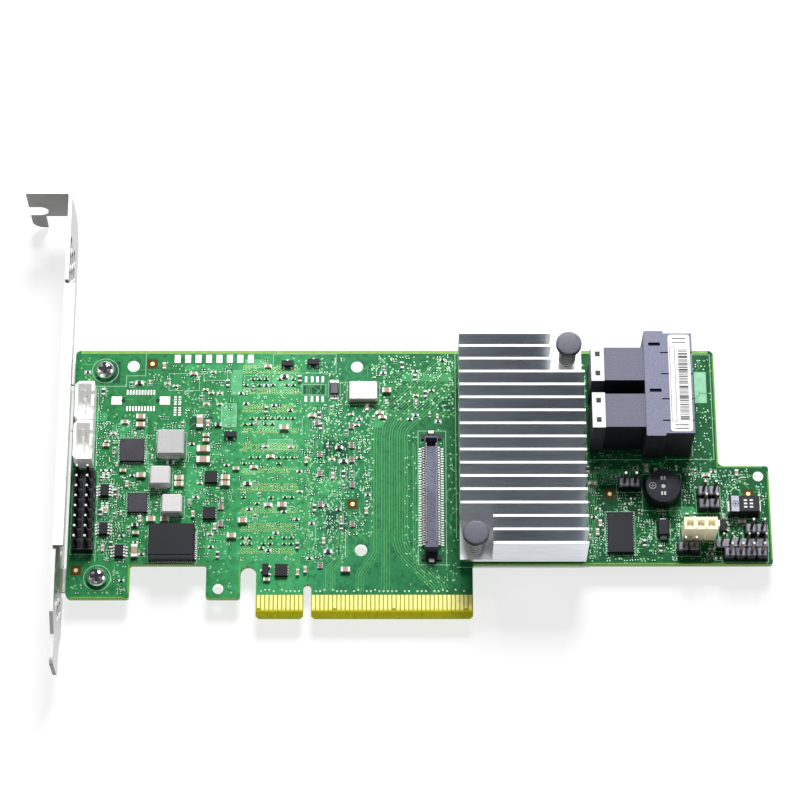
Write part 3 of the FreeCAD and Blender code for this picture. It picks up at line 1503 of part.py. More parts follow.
board = build_circuit_board()
build_edge_contacts()
build_bracket()
build_bracket_screws()
build_heat_sink()
build_push_pins()
build_controller()
build_drive_cage()
build_drive_receptacles()
build_drive_covers()
build_label()
build_mezzanine_socket()
build_headers()
build_signal_sockets()
build_sensor_socket()
drill_circuit_board(board)
build_buzzer()
build_chips()
build_power_module()
build_small_packages()
build_coils()
build_crystal()
build_diode()
build_tank_capacitor()
build_capacitors()
document.recompute()

for item in document.Objects:
    if "Invalid" in item.State or "Error" in item.State:
        raise RuntimeError("%s did not build: %s" % (item.Label, item.State))

os.makedirs("parts", exist_ok=True)
for item in nodes:
    if item.Shape.isNull() or not item.Shape.isValid():
        raise RuntimeError("%s has no valid shape" % item.Label)
    item.Shape.exportStep("parts/%s.step" % item.Label)
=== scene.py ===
import json
import math
import random

import bpy
import numpy as np
from mathutils import Matrix, Vector


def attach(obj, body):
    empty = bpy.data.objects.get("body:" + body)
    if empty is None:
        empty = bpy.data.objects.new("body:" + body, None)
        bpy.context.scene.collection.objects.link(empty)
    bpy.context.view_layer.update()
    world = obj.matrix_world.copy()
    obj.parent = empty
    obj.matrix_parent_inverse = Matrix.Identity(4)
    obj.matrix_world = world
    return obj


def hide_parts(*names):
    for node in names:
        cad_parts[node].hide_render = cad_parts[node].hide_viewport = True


# Lengths are in millimetres up to the moment that a mesh is made; the frame, camera and lamps are in metres.
MM = 0.001

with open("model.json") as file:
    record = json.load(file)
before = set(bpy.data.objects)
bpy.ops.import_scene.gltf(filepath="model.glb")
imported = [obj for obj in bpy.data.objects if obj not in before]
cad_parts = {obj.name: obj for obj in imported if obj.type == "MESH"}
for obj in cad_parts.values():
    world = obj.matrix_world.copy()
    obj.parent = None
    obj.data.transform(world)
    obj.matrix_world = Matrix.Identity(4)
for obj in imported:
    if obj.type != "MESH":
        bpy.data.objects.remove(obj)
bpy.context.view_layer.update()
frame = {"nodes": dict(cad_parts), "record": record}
nodes = frame["nodes"]
dice = random.Random(7)

# Camera and light
SENSOR, LENS = 36.0, 134.60
CAMERA_AT = (19.694, -231.506, 667.193)
CAMERA_TILT, CAMERA_YAW = 23.298, -0.180
LIT_POINT = (0.03, 0.04, 0.0)
LAMPS = (
    ("softbox_back", (0.10, 0.85, 0.80), 0.42, 19.0), ("softbox_front", (-0.25, -0.80, 0.75), 0.60, 0.42),
    ("softbox_left", (-0.95, 0.15, 0.50), 0.50, 2.6), ("softbox_right", (0.95, 0.05, 0.45), 0.50, 1.6),
    ("softbox_below", (0.0, 0.0, -0.90), 0.70, 6.0),
)
SKY_COLOUR, SKY_STRENGTH = (0.93, 0.95, 1.0, 1.0), 0.09
FLOOR_AT, FLOOR_REACH = -4.6, 3.0
FLOOR_GLOW, FLOOR_SHARE = 1.06, 0.70
WHITE = (1.0, 1.0, 1.0, 1.0)

# The board's outline and holes
BOARD_LEFT, BOARD_RIGHT, BOARD_TOP, BOARD_BOTTOM = -57.15, 110.49, 68.90, -1.57
STEP_RIGHT, STEP_UP, EDGE_LOW, TAB_LOW = 98.50, 38.46, 13.35, 4.86
TAB_END, TAB_START, TAB_STOP = -42.20, -24.00, -15.90
TONGUE_LEFT, TONGUE_RIGHT, CONTACT_TOP, KEY_TOP = -12.15, 39.15, 5.65, 9.5
KEY_CLEAR, CORNER_CLEAR = 1.6, 1.2
HOLES = ((-42.98, 64.72), (11.50, 64.55), (12.65, 16.90))
TOOLING = ((107.95, 35.8), (-21.1, 7.15))
SCREWS = ((-49.8, 63.5), (-49.8, 9.9))
HOLE_RADIUS, TOOLING_RADIUS = 1.475, 1.25
FIDUCIALS = ((-38.4, 65.4), (-54.9, 11.85), (10.6, 28.7), (72.2, 31.3), (105.4, 31.3))

# Heights of the flat details over the board's face, and widths of lines
PLANE_AT, TRACE_AT, VIA_AT, INK_AT, PAD_AT = 0.012, 0.024, 0.036, 0.048, 0.060
MARK_LIFT = 0.012
TRACE_WIDE, INK_WIDE, RIM_WIDE = 0.17, 0.14, 0.32

# The solder mask's green from the bracket's end of the board to the far end: painted light, lightest a third of the
# way along and darker towards the far end, where the light falls off
MASK_PAINTED_LIGHT = (
    (0.00, (0.020, 0.220, 0.064)), (0.20, (0.028, 0.255, 0.078)), (0.26, (0.042, 0.355, 0.118)),
    (0.33, (0.042, 0.345, 0.122)), (0.37, (0.030, 0.250, 0.098)), (0.45, (0.020, 0.215, 0.070)),
    (0.55, (0.014, 0.165, 0.052)), (0.72, (0.006, 0.122, 0.034)), (1.00, (0.006, 0.118, 0.034)),
)
TONGUE_ZONE, GOLD_TIP = (5.4, 5.9), (1.65, 2.30)
LEVEL, SIDEWAYS = (0.4, 0.6), (0.6, 0.95)

# Planes and bare areas on the component face: left, low, right, high
BRIGHT_PLANES = (
    (-17.2, 14.3, -1.6, 17.6), (-17.2, 24.0, -1.6, 27.4), (-17.2, 34.2, -1.6, 37.8), (-17.2, 44.6, -1.6, 48.0),
    (-17.2, 54.8, -1.6, 58.2), (-17.4, 62.2, -3.6, 65.4), (14.6, 48.5, 18.0, 51.8), (-30.5, 63.6, -19.0, 65.2),
    (-56.2, 50.2, -48.8, 52.6), (-47.6, 44.8, -39.2, 49.6), (-29.6, 40.6, -19.4, 43.6), (-38.4, 22.8, -30.8, 25.2),
    (-29.4, 30.2, -24.4, 38.6), (-56.0, 16.2, -52.2, 21.4), (-24.4, 14.6, -19.0, 21.0), (2.6, 31.0, 8.6, 34.8),
    (68.4, 33.6, 79.2, 37.6), (86.2, 25.4, 92.6, 28.0), (22.4, 60.8, 34.6, 63.0),
)
PALE_PLANES = (
    (-19.1, 57.2, -16.4, 63.8), (-9.2, 57.6, -4.0, 62.4), (-21.3, 48.8, -17.7, 54.8), (-12.4, 47.6, -4.2, 50.8),
    (-15.8, 64.2, -10.0, 66.6), (-15.8, 36.2, -12.6, 38.0), (-8.6, 26.4, -4.4, 28.4), (-9.9, 42.8, -4.0, 45.4),
    (-40.6, 40.2, -38.6, 42.4),
)
MINT_BOX = (93.6, 55.0, 96.5, 63.2)
BARE_AREAS = (
    (-1.5, 57.4, 3.6, 59.6), (3.4, 40.2, 9.4, 45.2), (4.2, 22.0, 9.4, 27.0), (-48.0, 60.2, -46.2, 66.0),
    (69.0, 14.2, 71.4, 29.0), (98.8, 33.2, 103.0, 37.4), (-29.0, 48.0, -23.4, 51.4), (19.2, 53.4, 34.0, 56.4),
)

# Bundles of traces: path, number and pitch; areas of loose traces: box, number and main heading
BUNDLES = (
    (((36.0, 65.6), (20.8, 50.6), (19.7, 48.6), (19.4, 46.4), (19.4, 22.0)), 15, 0.62),
    (((21.9, 22.0), (21.9, 19.4), (22.6, 17.2), (24.2, 15.0), (31.0, 8.2), (31.7, 6.5)), 7, 0.62),
    (((18.47, 22.0), (18.47, 6.5)), 4, 0.62), (((15.99, 22.0), (15.99, 16.4), (12.4, 10.6), (12.4, 6.5)), 4, 0.62),
    (((25.4, 13.6), (25.4, 44.0)), 2, 0.50), (((5.4, 6.5), (5.4, 12.0), (8.4, 15.4), (8.4, 21.0)), 5, 0.55),
    (((-5.0, 6.5), (-5.0, 11.6), (-2.4, 14.2)), 6, 0.55), (((-0.2, 16.0), (-0.2, 60.0)), 4, 0.42),
    (((68.2, 14.6), (68.2, 36.0), (72.0, 39.4)), 4, 0.50),
    (((-56.0, 36.0), (-50.0, 36.0), (-46.4, 32.4), (-46.4, 26.0)), 3, 0.50),
)
WANDER_AREAS = (
    (-56.0, 6.0, -20.0, 67.0, 130, 0), (-17.0, 14.0, -1.0, 66.0, 90, 90), (-1.0, 14.0, 15.5, 67.0, 150, 90),
    (15.0, 50.0, 35.0, 67.0, 90, 45), (24.0, 8.0, 36.0, 48.0, 40, 90), (66.0, 14.0, 98.0, 66.0, 110, 0),
    (97.0, 14.0, 109.5, 37.0, 40, 90), (36.0, 13.8, 66.0, 67.5, 60, 45),
)

# Areas of vias: box, number and radius; areas of pairs of pads: box and number
VIA_AREAS = (
    (-56.0, 6.0, -18.0, 67.0, 1000, 0.19), (-17.0, 14.0, -1.0, 67.0, 320, 0.18), (-1.0, 13.8, 15.6, 67.0, 800, 0.19),
    (15.0, 50.0, 35.5, 67.5, 150, 0.20), (23.0, 8.0, 36.0, 48.0, 180, 0.17), (66.5, 14.0, 98.0, 67.0, 760, 0.18),
    (97.0, 14.0, 110.0, 38.0, 200, 0.18), (-56.0, 5.4, -43.0, 13.0, 16, 0.22), (-23.4, 5.4, -16.6, 13.0, 8, 0.22),
)
SPECK_AREAS = (
    (-52.0, 14.0, -41.0, 50.0, 260), (-41.0, 14.0, -18.5, 66.0, 260), (-56.0, 40.0, -50.0, 60.0, 30),
    (-17.0, 14.0, -1.0, 67.0, 70), (-1.0, 14.0, 15.0, 67.0, 170), (15.5, 60.0, 35.0, 67.5, 40),
    (67.0, 14.0, 98.0, 38.0, 420), (67.0, 40.0, 97.0, 67.5, 80), (98.0, 14.2, 109.5, 37.5, 90),
    (-55.0, 6.0, -43.4, 13.0, 16),
)
MEMORY_FIRST, MEMORY_STEP, MEMORY_BLOCKS = 20.6, 10.3, 5
MEMORY_LEFT, MEMORY_RIGHT = -16.0, -3.0
VIA_RANKS = (-4.2, -3.45, 1.35, 2.10, 2.85)
DASH_RANKS = (-2.1, -0.55)
KEPT_CLEAR = (
    (-1.6, 54.9, 4.3, 62.5), (-48.3, 52.4, -33.6, 59.0), (-33.3, 65.4, -13.2, 68.2), (-34.0, 51.3, -30.4, 57.3),
    (93.4, 54.8, 96.7, 63.4),
)

# Small parts: middle, whether upright and finish; areas of them: box, number, share upright and finishes
CERAMIC, BLACK = "capacitor_ceramic", "part_black"
SET_SIZE, AREA_SIZES = (1.6, 0.8), ((1.0, 0.5), (1.0, 0.5), (1.6, 0.8))
CAP_SHARE = 0.24
SET_PARTS = (
    (-24.85, 46.45, False, CERAMIC), (-24.85, 45.10, False, CERAMIC), (-22.00, 49.15, False, BLACK),
    (-44.60, 37.20, False, CERAMIC), (-41.30, 23.20, False, BLACK), (-17.45, 37.70, False, CERAMIC),
    (-9.65, 9.40, False, CERAMIC), (-41.00, 21.20, False, CERAMIC), (-48.90, 43.80, False, CERAMIC),
    (-27.50, 26.00, True, CERAMIC), (-2.40, 61.30, True, BLACK), (-0.60, 39.90, True, CERAMIC),
    (-2.50, 17.95, True, BLACK), (-2.35, 11.20, True, CERAMIC), (-0.55, 11.90, True, CERAMIC),
)
PART_AREAS = (
    (-53.0, 14.0, -44.0, 40.0, 40, 0.7, (BLACK, BLACK, CERAMIC)),
    (-56.0, 15.0, -19.5, 66.0, 150, 0.4, (BLACK, CERAMIC)),
    (-17.0, 14.5, -1.0, 66.0, 34, 0.3, (CERAMIC, BLACK, BLACK)),
    (-1.0, 14.0, 15.0, 66.0, 46, 0.5, (BLACK, BLACK, CERAMIC)), (15.0, 50.0, 35.0, 67.0, 22, 0.5, (CERAMIC, BLACK)),
    (67.0, 14.2, 98.0, 38.0, 90, 0.5, (BLACK, BLACK, BLACK, CERAMIC)),
    (67.0, 41.0, 80.0, 67.0, 16, 0.5, (BLACK, CERAMIC)), (98.0, 14.2, 109.5, 37.5, 20, 0.5, (BLACK, CERAMIC)),
    (-55.0, 6.0, -43.4, 13.0, 8, 0.5, (BLACK,)),
)
ARRAYS = (
    (1.8, 49.8), (2.6, 41.5), (2.7, 36.5), (2.9, 28.6), (10.2, 48.9), (10.3, 43.8), (10.4, 40.1), (10.5, 33.6),
    (10.6, 23.5), (3.0, 13.0), (-20.9, 27.95), (-20.9, 23.6),
)

# Bare pads and printed lines
TOP_PADS, TOP_PADS_LEFT, TOP_PADS_UP, TOP_PITCH = 8, -32.3, 66.75, 2.55
EMPTY_ROWS, EMPTY_LEFT, EMPTY_PADS, EMPTY_PITCH = (53.5, 57.8), -44.2, 10, 0.72
EMPTY_ENDS, EMPTY_HOLES = (-46.8, -35.1), (-45.2, -36.8)
EMPTY_CHIP, EMPTY_CHIP_ROWS = (-0.9, 0.6, 1.9, 3.2), (55.3, 60.5)
EMPTY_ARRAYS = ((-48.7, 36.5), (-48.7, 32.5), (-48.7, 28.0), (-48.7, 22.7), (-32.0, 55.6), (-32.0, 52.8))
INK_FRAMES = (
    ((-34.2, 58.3), (-26.8, 62.8)), ((-25.8, 61.0), (-20.0, 63.4)), ((-1.85, 57.1), (3.95, 59.9)),
    ((-15.9, 58.8), (-9.7, 62.2)), ((-21.3, 48.8), (-17.7, 54.8)), ((-9.9, 42.8), (-4.0, 45.4)),
    ((26.3, 13.2), (33.0, 47.6)), ((-8.9, 62.9), (6.4, 68.0)), ((86.0, 40.2), (97.6, 67.8)),
)
INK_LINES = (
    ((-50.5, 14.0), (-50.5, 33.0)), ((1.8, 19.0), (1.8, 23.0)), ((9.0, 15.0), (9.0, 21.3)),
    ((92.5, 41.0), (92.5, 67.0)), ((-1.7, 46.5), (-1.7, 51.0)), ((67.6, 40.1), (80.0, 40.1)),
    ((-40.0, 68.2), (-40.0, 62.2), (-44.6, 62.2), (-44.6, 59.4), (-52.6, 59.4)), ((35.4, 12.6), (66.8, 12.6)),
    ((35.4, 68.2), (66.8, 68.2)), ((35.4, 20.0), (35.4, 68.2)), ((66.9, 20.0), (66.9, 62.0)),
)
OUTLINED = (
    "key_header", "signal_sockets", "jumper_headers", "sensor_socket", "flash_chip", "charger_chip", "driver_chip",
    "power_module", "large_inductor", "small_inductors", "crystal_base", "tank_capacitor", "diode", "logic_chips",
    "buzzer",
)

# CAD nodes by how they are finished
PIN_NODES = ("jumper_pins", "key_header_pins", "signal_pins", "sensor_pins")
CHIP_NODES = ("memory_chips", "flash_chip", "charger_chip", "driver_chip", "small_chips", "logic_chips", "transistors")
PADDED = ("charger_chip", "driver_chip", "flash_chip", "small_chips")
ALL_ROUND = ("charger_chip", "driver_chip")
PALE_CHIP_FROM = 55.0
CHIP_PITCH, CHIP_PAD_HALF, CHIP_PAD_OUT, CHIP_PAD_IN, CHIP_PAD_TALL = 0.65, 0.16, 0.18, 0.15, 0.22
LEAD_NODES = (
    ("mezzanine_leads", "mezzanine_socket"), ("logic_leads", "logic_chips"), ("transistor_leads", "transistors"),
)
LEAD_THICK, LEAD_HIGHEST = 0.14, 0.9
CELLS = (("jumper_pins", "jumper_headers", "cell_grey"), ("key_header_pins", "key_header", "cell_black"))
CELL_HALF = 1.12
SLOT_COUNT, SLOT_PITCH, SLOT_AT = 40, 0.635, 1.20
SPRING_TURNS, SPRING_STEPS, SPRING_WIRE = 6, 28, 0.25
BLOCKS = (
    ("tank_capacitor", "tank_resin"), ("power_module", "chip_resin"), ("diode", "chip_resin"),
    ("crystal_lid", "crystal_metal"), ("crystal_base", "crystal_ceramic"),
)
THREAD_PITCH, CROSS_TURN = 0.5, 0.15
COVER_WINDOW = 2.5
NODE_FINISH = {
    "edge_contacts": "contact_gold", "mezzanine_socket": "socket_grey", "drive_receptacles": "receptacle_grey",
    "drive_covers": "cover_white", "mezzanine_locks": "part_black",
}
OVERLAY = (
    "mask_plane", "mask_pale", "mask_mint", "mask_bare", "mask_trace", "rim", "hole_wall", "pad_small", "speck_dark",
    "dot_gold", "fiducial_brown", "via_bright", "via_olive", "laminate", "via_tin", "via_well", "silkscreen",
    "pad_tin", "part_black", "part_pink", "capacitor_ceramic", "tin",
)


def stand(name, data):
    """A new object in the scene."""
    item = bpy.data.objects.new(name, data)
    bpy.context.scene.collection.objects.link(item)
    return item


def make_camera():
    """The photograph's view: from in front and above, with a long lens."""
    lens = bpy.data.cameras.new("camera")
    lens.sensor_width, lens.lens = SENSOR, LENS
    lens.clip_start, lens.clip_end = 0.05, 20.0
    camera = stand("camera", lens)
    turn = Matrix.Rotation(math.radians(CAMERA_TILT), 4, "X") @ Matrix.Rotation(math.radians(CAMERA_YAW), 4, "Y")
    camera.matrix_world = Matrix.Translation(Vector(CAMERA_AT) * MM) @ turn
    bpy.context.scene.camera = camera


def make_light():
    """Soft studio light, strongest from behind and above, and a sky that only the camera sees as white."""
    for name, place, side, power in LAMPS:
        data = bpy.data.lights.new(name, "AREA")
        data.shape, data.size, data.energy = "SQUARE", side, power
        lamp = stand(name, data)
        lamp.location = place
        lamp.rotation_euler = (Vector(LIT_POINT) - Vector(place)).to_track_quat("-Z", "Y").to_euler()
    world = bpy.data.worlds.new("studio")
    bpy.context.scene.world = world
    world.use_nodes = True
    tree = world.node_tree
    tree.nodes.clear()
    seen = add(tree, "Background", Color=WHITE, Strength=1.0).outputs[0]
    felt = add(tree, "Background", Color=SKY_COLOUR, Strength=SKY_STRENGTH).outputs[0]
    sky = mix_shaders(tree, add(tree, "LightPath").outputs["Is Camera Ray"], felt, seen)
    out = tree.nodes.new("ShaderNodeOutputWorld")
    tree.links.new(sky, out.inputs["Surface"])
    bpy.context.scene.view_settings.view_transform = "Standard"


def make_floor():
    """A pale floor: nearly white to the camera and in metal, with the card's own shadow, and open from below."""
    material, tree, shader, place = blank("floor", Roughness=0.9)
    give(tree, shader, Base_Color=ramp(tree, noise(tree, place, 0.01), (0.3, (0.94,) * 3), (0.7, (0.96,) * 3)))
    path = add(tree, "LightPath").outputs
    shown = combine(tree, "MAXIMUM", path["Is Camera Ray"], path["Is Glossy Ray"])
    shown = combine(tree, "MAXIMUM", shown, path["Is Transmission Ray"])
    glow = add(tree, "Emission", Color=WHITE, Strength=FLOOR_GLOW).outputs[0]
    seen = mix_shaders(tree, between(tree, shown, 0.0, 1.0, 0.0, FLOOR_SHARE), shader.outputs[0], glow)
    behind = tree.nodes.new("ShaderNodeNewGeometry").outputs["Backfacing"]
    open_way = combine(tree, "MAXIMUM", behind, path["Is Shadow Ray"])
    whole = mix_shaders(tree, open_way, seen, add(tree, "BsdfTransparent").outputs[0])
    out = next(node for node in tree.nodes if node.type == "OUTPUT_MATERIAL")
    tree.links.new(whole, out.inputs["Surface"])
    data = bpy.data.meshes.new("floor")
    corners = [(FLOOR_REACH * a, FLOOR_REACH * b, FLOOR_AT * MM) for a, b in ((-1, -1), (1, -1), (1, 1), (-1, 1))]
    data.from_pydata(corners, [], [(0, 1, 2, 3)])
    data.materials.append(material)
    stand("floor", data)


# Materials
def add(tree, kind, settings=None, *feeds, **inputs):
    """A shader node with its settings; feeds go to its first inputs, the others are set or linked by name."""
    node = tree.nodes.new("ShaderNode" + kind)
    for key, value in (settings or {}).items():
        setattr(node, key, value)
    named = [(node.inputs[key.replace("_", " ")], value) for key, value in inputs.items()]
    for socket, value in list(zip(node.inputs, feeds)) + named:
        if isinstance(value, bpy.types.NodeSocket):
            tree.links.new(value, socket)
        else:
            socket.default_value = value
    return node


def give(tree, shader, **inputs):
    """Links what drives a shader's inputs."""
    for key, value in inputs.items():
        tree.links.new(value, shader.inputs[key.replace("_", " ")])


def combine(tree, operation, *values):
    """The result of a calculation with one or two values."""
    return add(tree, "Math", {"operation": operation}, *values).outputs[0]


def between(tree, value, start, stop, low=0.0, high=1.0):
    """A value that runs from low to high while another runs from start to stop."""
    return add(tree, "MapRange", None, Value=value, From_Min=start, From_Max=stop, To_Min=low, To_Max=high).outputs[0]


def mix_shaders(tree, share, first, second):
    """Two shaders mixed by a share of the second."""
    return add(tree, "MixShader", None, share, first, second).outputs[0]


def blend(tree, first, second, share, way="MIX"):
    """Two colours mixed in one of the shader's ways."""
    node = add(tree, "Mix", {"data_type": "RGBA", "blend_type": way}, Factor=share)
    tree.links.new(first, node.inputs[6])
    tree.links.new(second, node.inputs[7])
    return node.outputs[2]


def opaque(colour, factor=1.0):
    """A colour with full alpha, made lighter or darker."""
    return tuple(min(1.0, channel * factor) for channel in colour[:3]) + (1.0,)


def blank(name, **inputs):
    """A material with a Principled shader; returns it with its tree, shader and object coordinates."""
    material = bpy.data.materials.new(name)
    material.use_nodes = True
    tree = material.node_tree
    tree.nodes.clear()
    shader = add(tree, "BsdfPrincipled", None, **inputs)
    out = tree.nodes.new("ShaderNodeOutputMaterial")
    tree.links.new(shader.outputs[0], out.inputs["Surface"])
    place = tree.nodes.new("ShaderNodeTexCoord").outputs["Object"]
    return material, tree, shader, place


def ramp(tree, factor, *stops):
    """Colours that follow a factor from stop to stop."""
    node = tree.nodes.new("ShaderNodeValToRGB")
    tree.links.new(factor, node.inputs[0])
    ends = node.color_ramp.elements
    while len(ends) < len(stops):
        ends.new(0.5)
    for end, (position, colour) in zip(ends, stops):
        end.position = position
        end.color = opaque(colour)
    return node.outputs[0]


def tones(tree, factor, colour, dark, light, start=0.3, stop=0.7):
    """One colour that varies from a darker to a lighter tone with a factor."""
    return ramp(tree, factor, (start, opaque(colour, dark)), (stop, opaque(colour, light)))


def noise(tree, place, per_mm, detail=2.0, stretch=None):
    """Smooth noise with a given number of bumps per millimetre, stretched along an axis if asked."""
    if stretch:
        place = add(tree, "Mapping", None, Vector=place, Scale=stretch).outputs[0]
    return add(tree, "TexNoise", None, Vector=place, Scale=per_mm / MM, Detail=detail).outputs["Fac"]


def bump(tree, shader, height, strength, depth):
    """Relief of a given depth in millimetres."""
    node = add(tree, "Bump", None, Height=height, Strength=strength, Distance=depth * MM)
    give(tree, shader, Normal=node.outputs[0])


def facing(tree, axis, span, either=True):
    """1 on faces that look along an axis, 0 on faces that look across it."""
    normal = tree.nodes.new("ShaderNodeNewGeometry").outputs["Normal"]
    part = add(tree, "SeparateXYZ", None, normal).outputs[axis]
    return between(tree, combine(tree, "ABSOLUTE", part) if either else part, *span)


def moulded(name, colour, rough, grain=3.0, spread=0.12, relief=0.02):
    """Moulded plastic or resin: a fine grain, slightly mottled."""
    material, tree, shader, place = blank(name, Roughness=rough, Specular_IOR_Level=0.22)
    fine = noise(tree, place, grain, 3.0)
    mottled = combine(tree, "MULTIPLY", fine, noise(tree, place, 0.15))
    give(tree, shader, Base_Color=tones(tree, mottled, colour, 1 - spread, 1 + spread, 0.1, 0.45))
    bump(tree, shader, fine, 0.4, relief)
    return material


def metal(name, colour, rough, grain=1.0):
    """Bare or plated metal with a drawn or tumbled surface."""
    material, tree, shader, place = blank(name, Metallic=1.0)
    fine = noise(tree, place, grain, 4.0)
    gloss = between(tree, fine, 0.25, 0.75, rough * 0.8, rough * 1.25)
    give(tree, shader, Base_Color=tones(tree, fine, colour, 0.92, 1.08), Roughness=gloss)
    bump(tree, shader, fine, 0.5, 0.004)
    return material


def masked(name, colour):
    """Solder mask over one kind of ground, seen as flat shapes on the board."""
    material, tree, shader, place = blank(name, Roughness=0.45, Specular_IOR_Level=0.12)
    give(tree, shader, Base_Color=tones(tree, noise(tree, place, 0.6, 3.0), colour, 0.85, 1.15))
    bump(tree, shader, noise(tree, place, 3.0), 0.2, 0.005)
    return material


def plated(name, colour, rough=0.4):
    """Solder or plating that looks pale from every side: half metal, half matt."""
    material, tree, shader, place = blank(name, Metallic=0.45, Roughness=rough)
    fine = noise(tree, place, 2.5, 3.0)
    give(tree, shader, Base_Color=tones(tree, fine, colour, 0.88, 1.06))
    bump(tree, shader, fine, 0.4, 0.01)
    return material


def painted_top_light(name, top, side, rough):
    """Plastic, mostly dark, with painted light: faces that look up are painted paler than the sides, as the light
    falls from above; a fine grain runs over both.
    """
    material, tree, shader, place = blank(name, Roughness=rough, Specular_IOR_Level=0.25)
    fine = noise(tree, place, 3.0, 3.0)
    # Painted light: a paler colour for faces that look up, a darker one for the sides.
    sides, painted_lit_tops = tones(tree, fine, side, 0.9, 1.1), tones(tree, fine, top, 0.8, 1.2)
    give(tree, shader, Base_Color=blend(tree, sides, painted_lit_tops, facing(tree, "Z", LEVEL)))
    bump(tree, shader, fine, 0.4, 0.02)
    return material


def board_material():
    """Green solder mask in zones of painted light along the card, with cells, waves and dots of buried copper; cut
    laminate on the edges.
    """
    material, tree, shader, place = blank("solder_mask", Roughness=0.45, Specular_IOR_Level=0.12)
    spot = add(tree, "SeparateXYZ", None, place).outputs
    # Painted light: the mask's green is lighter or darker along the card as the light falls.
    zones = ramp(tree, between(tree, spot["X"], BOARD_LEFT * MM, BOARD_RIGHT * MM), *MASK_PAINTED_LIGHT)
    cells = add(tree, "TexVoronoi", {"distance": "CHEBYCHEV"}, Vector=place, Scale=0.42 / MM).outputs["Distance"]
    waves = add(
        tree, "TexWave", {"bands_direction": "DIAGONAL"}, Vector=place, Scale=0.28 / MM, Distortion=6.0, Detail=2.0
    ).outputs["Fac"]
    dots = add(tree, "TexVoronoi", None, Vector=place, Scale=1.15 / MM).outputs["Distance"]
    mask = blend(tree, zones, ramp(tree, cells, (0.10, (0.55, 0.55, 0.60)), (0.55, WHITE)), 0.55, "MULTIPLY")
    mask = blend(tree, mask, ramp(tree, waves, (0.25, (0.72, 0.80, 0.74)), (0.60, WHITE)), 0.20, "MULTIPLY")
    mask = blend(tree, mask, ramp(tree, dots, (0.62, WHITE), (0.80, (0.62, 0.66, 0.66))), 0.85, "MULTIPLY")
    low_down = between(tree, spot["Y"], TONGUE_ZONE[1] * MM, TONGUE_ZONE[0] * MM)
    from_left = between(tree, spot["X"], (TONGUE_LEFT - 0.4) * MM, (TONGUE_LEFT - 0.3) * MM)
    tongue = ramp(tree, noise(tree, place, 0.8), (0.3, (0.310, 0.300, 0.006)), (0.7, (0.400, 0.385, 0.010)))
    mask = blend(tree, mask, tongue, combine(tree, "MULTIPLY", low_down, from_left))
    grain = noise(tree, place, 2.0, 2.0, (1, 1, 6))
    laminate = ramp(tree, grain, (0.3, (0.16, 0.34, 0.03)), (0.7, (0.34, 0.52, 0.06)))
    give(tree, shader, Base_Color=blend(tree, laminate, mask, facing(tree, "Z", LEVEL)))
    bump(tree, shader, waves, 0.25, 0.01)
    return material


def finger_gold():
    """Plated gold, duller and more olive in a band at the tips."""
    material, tree, shader, place = blank("contact_gold", Metallic=0.55, Roughness=0.38)
    up = add(tree, "SeparateXYZ", None, place).outputs["Y"]
    rise = between(tree, up, GOLD_TIP[0] * MM, GOLD_TIP[1] * MM)
    plate = ramp(tree, rise, (0.0, (0.52, 0.49, 0.010)), (0.35, (0.60, 0.57, 0.03)), (0.9, (0.88, 0.83, 0.30)))
    worn = noise(tree, place, 1.5, 4.0, (1, 0.3, 1))
    tint = ramp(tree, worn, (0.3, (0.86, 0.86, 0.84)), (0.7, WHITE))
    give(tree, shader, Base_Color=blend(tree, plate, tint, 1.0, "MULTIPLY"))
    bump(tree, shader, worn, 0.3, 0.004)
    return material


def sheet_steel():
    """Brushed sheet with painted light: faces that look along the card's height get painted shade, those that look up
    a painted highlight that makes them nearly white and less metallic.
    """
    material, tree, shader, place = blank("bracket_steel", Metallic=1.0, Roughness=0.33)
    fine = noise(tree, place, 2.5, 3.0, (1, 0.12, 1))
    pale = ramp(tree, fine, (0.3, (0.46, 0.46, 0.455)), (0.7, (0.53, 0.53, 0.525)))
    # Painted shade for the faces that look along the card's height, and a painted highlight, nearly white, for those
    # that look up.
    painted_shade = ramp(tree, fine, (0.3, (0.145, 0.142, 0.14)), (0.7, (0.185, 0.182, 0.18)))
    white = ramp(tree, fine, (0.3, (0.90,) * 3), (0.7, (0.96,) * 3))
    up = facing(tree, "Z", LEVEL, False)
    colour = blend(tree, blend(tree, pale, painted_shade, facing(tree, "Y", SIDEWAYS)), white, up)
    give(tree, shader, Base_Color=colour, Metallic=between(tree, up, 0.0, 1.0, 1.0, 0.30))
    bump(tree, shader, fine, 0.3, 0.002)
    return material


def sink_metal():
    """Extruded aluminium, drawn along the fins; level faces are rougher and less metallic, and painted near white: a
    painted highlight where the light falls on them.
    """
    material, tree, shader, place = blank("sink_aluminium", Metallic=1.0)
    drawn = noise(tree, place, 1.5, 4.0, (0.08, 1, 1))
    sides = ramp(tree, drawn, (0.3, (0.69, 0.72, 0.77)), (0.7, (0.84, 0.87, 0.92)))
    # Painted highlight on the level faces.
    painted_lit_tops = ramp(tree, drawn, (0.3, (0.93, 0.93, 0.94)), (0.7, (0.98,) * 3))
    up = facing(tree, "Z", LEVEL)
    rough, bare = between(tree, up, 0.0, 1.0, 0.36, 0.60), between(tree, up, 0.0, 1.0, 1.0, 0.35)
    give(tree, shader, Base_Color=blend(tree, sides, painted_lit_tops, up), Roughness=rough, Metallic=bare)
    bump(tree, shader, drawn, 0.5, 0.004)
    return material


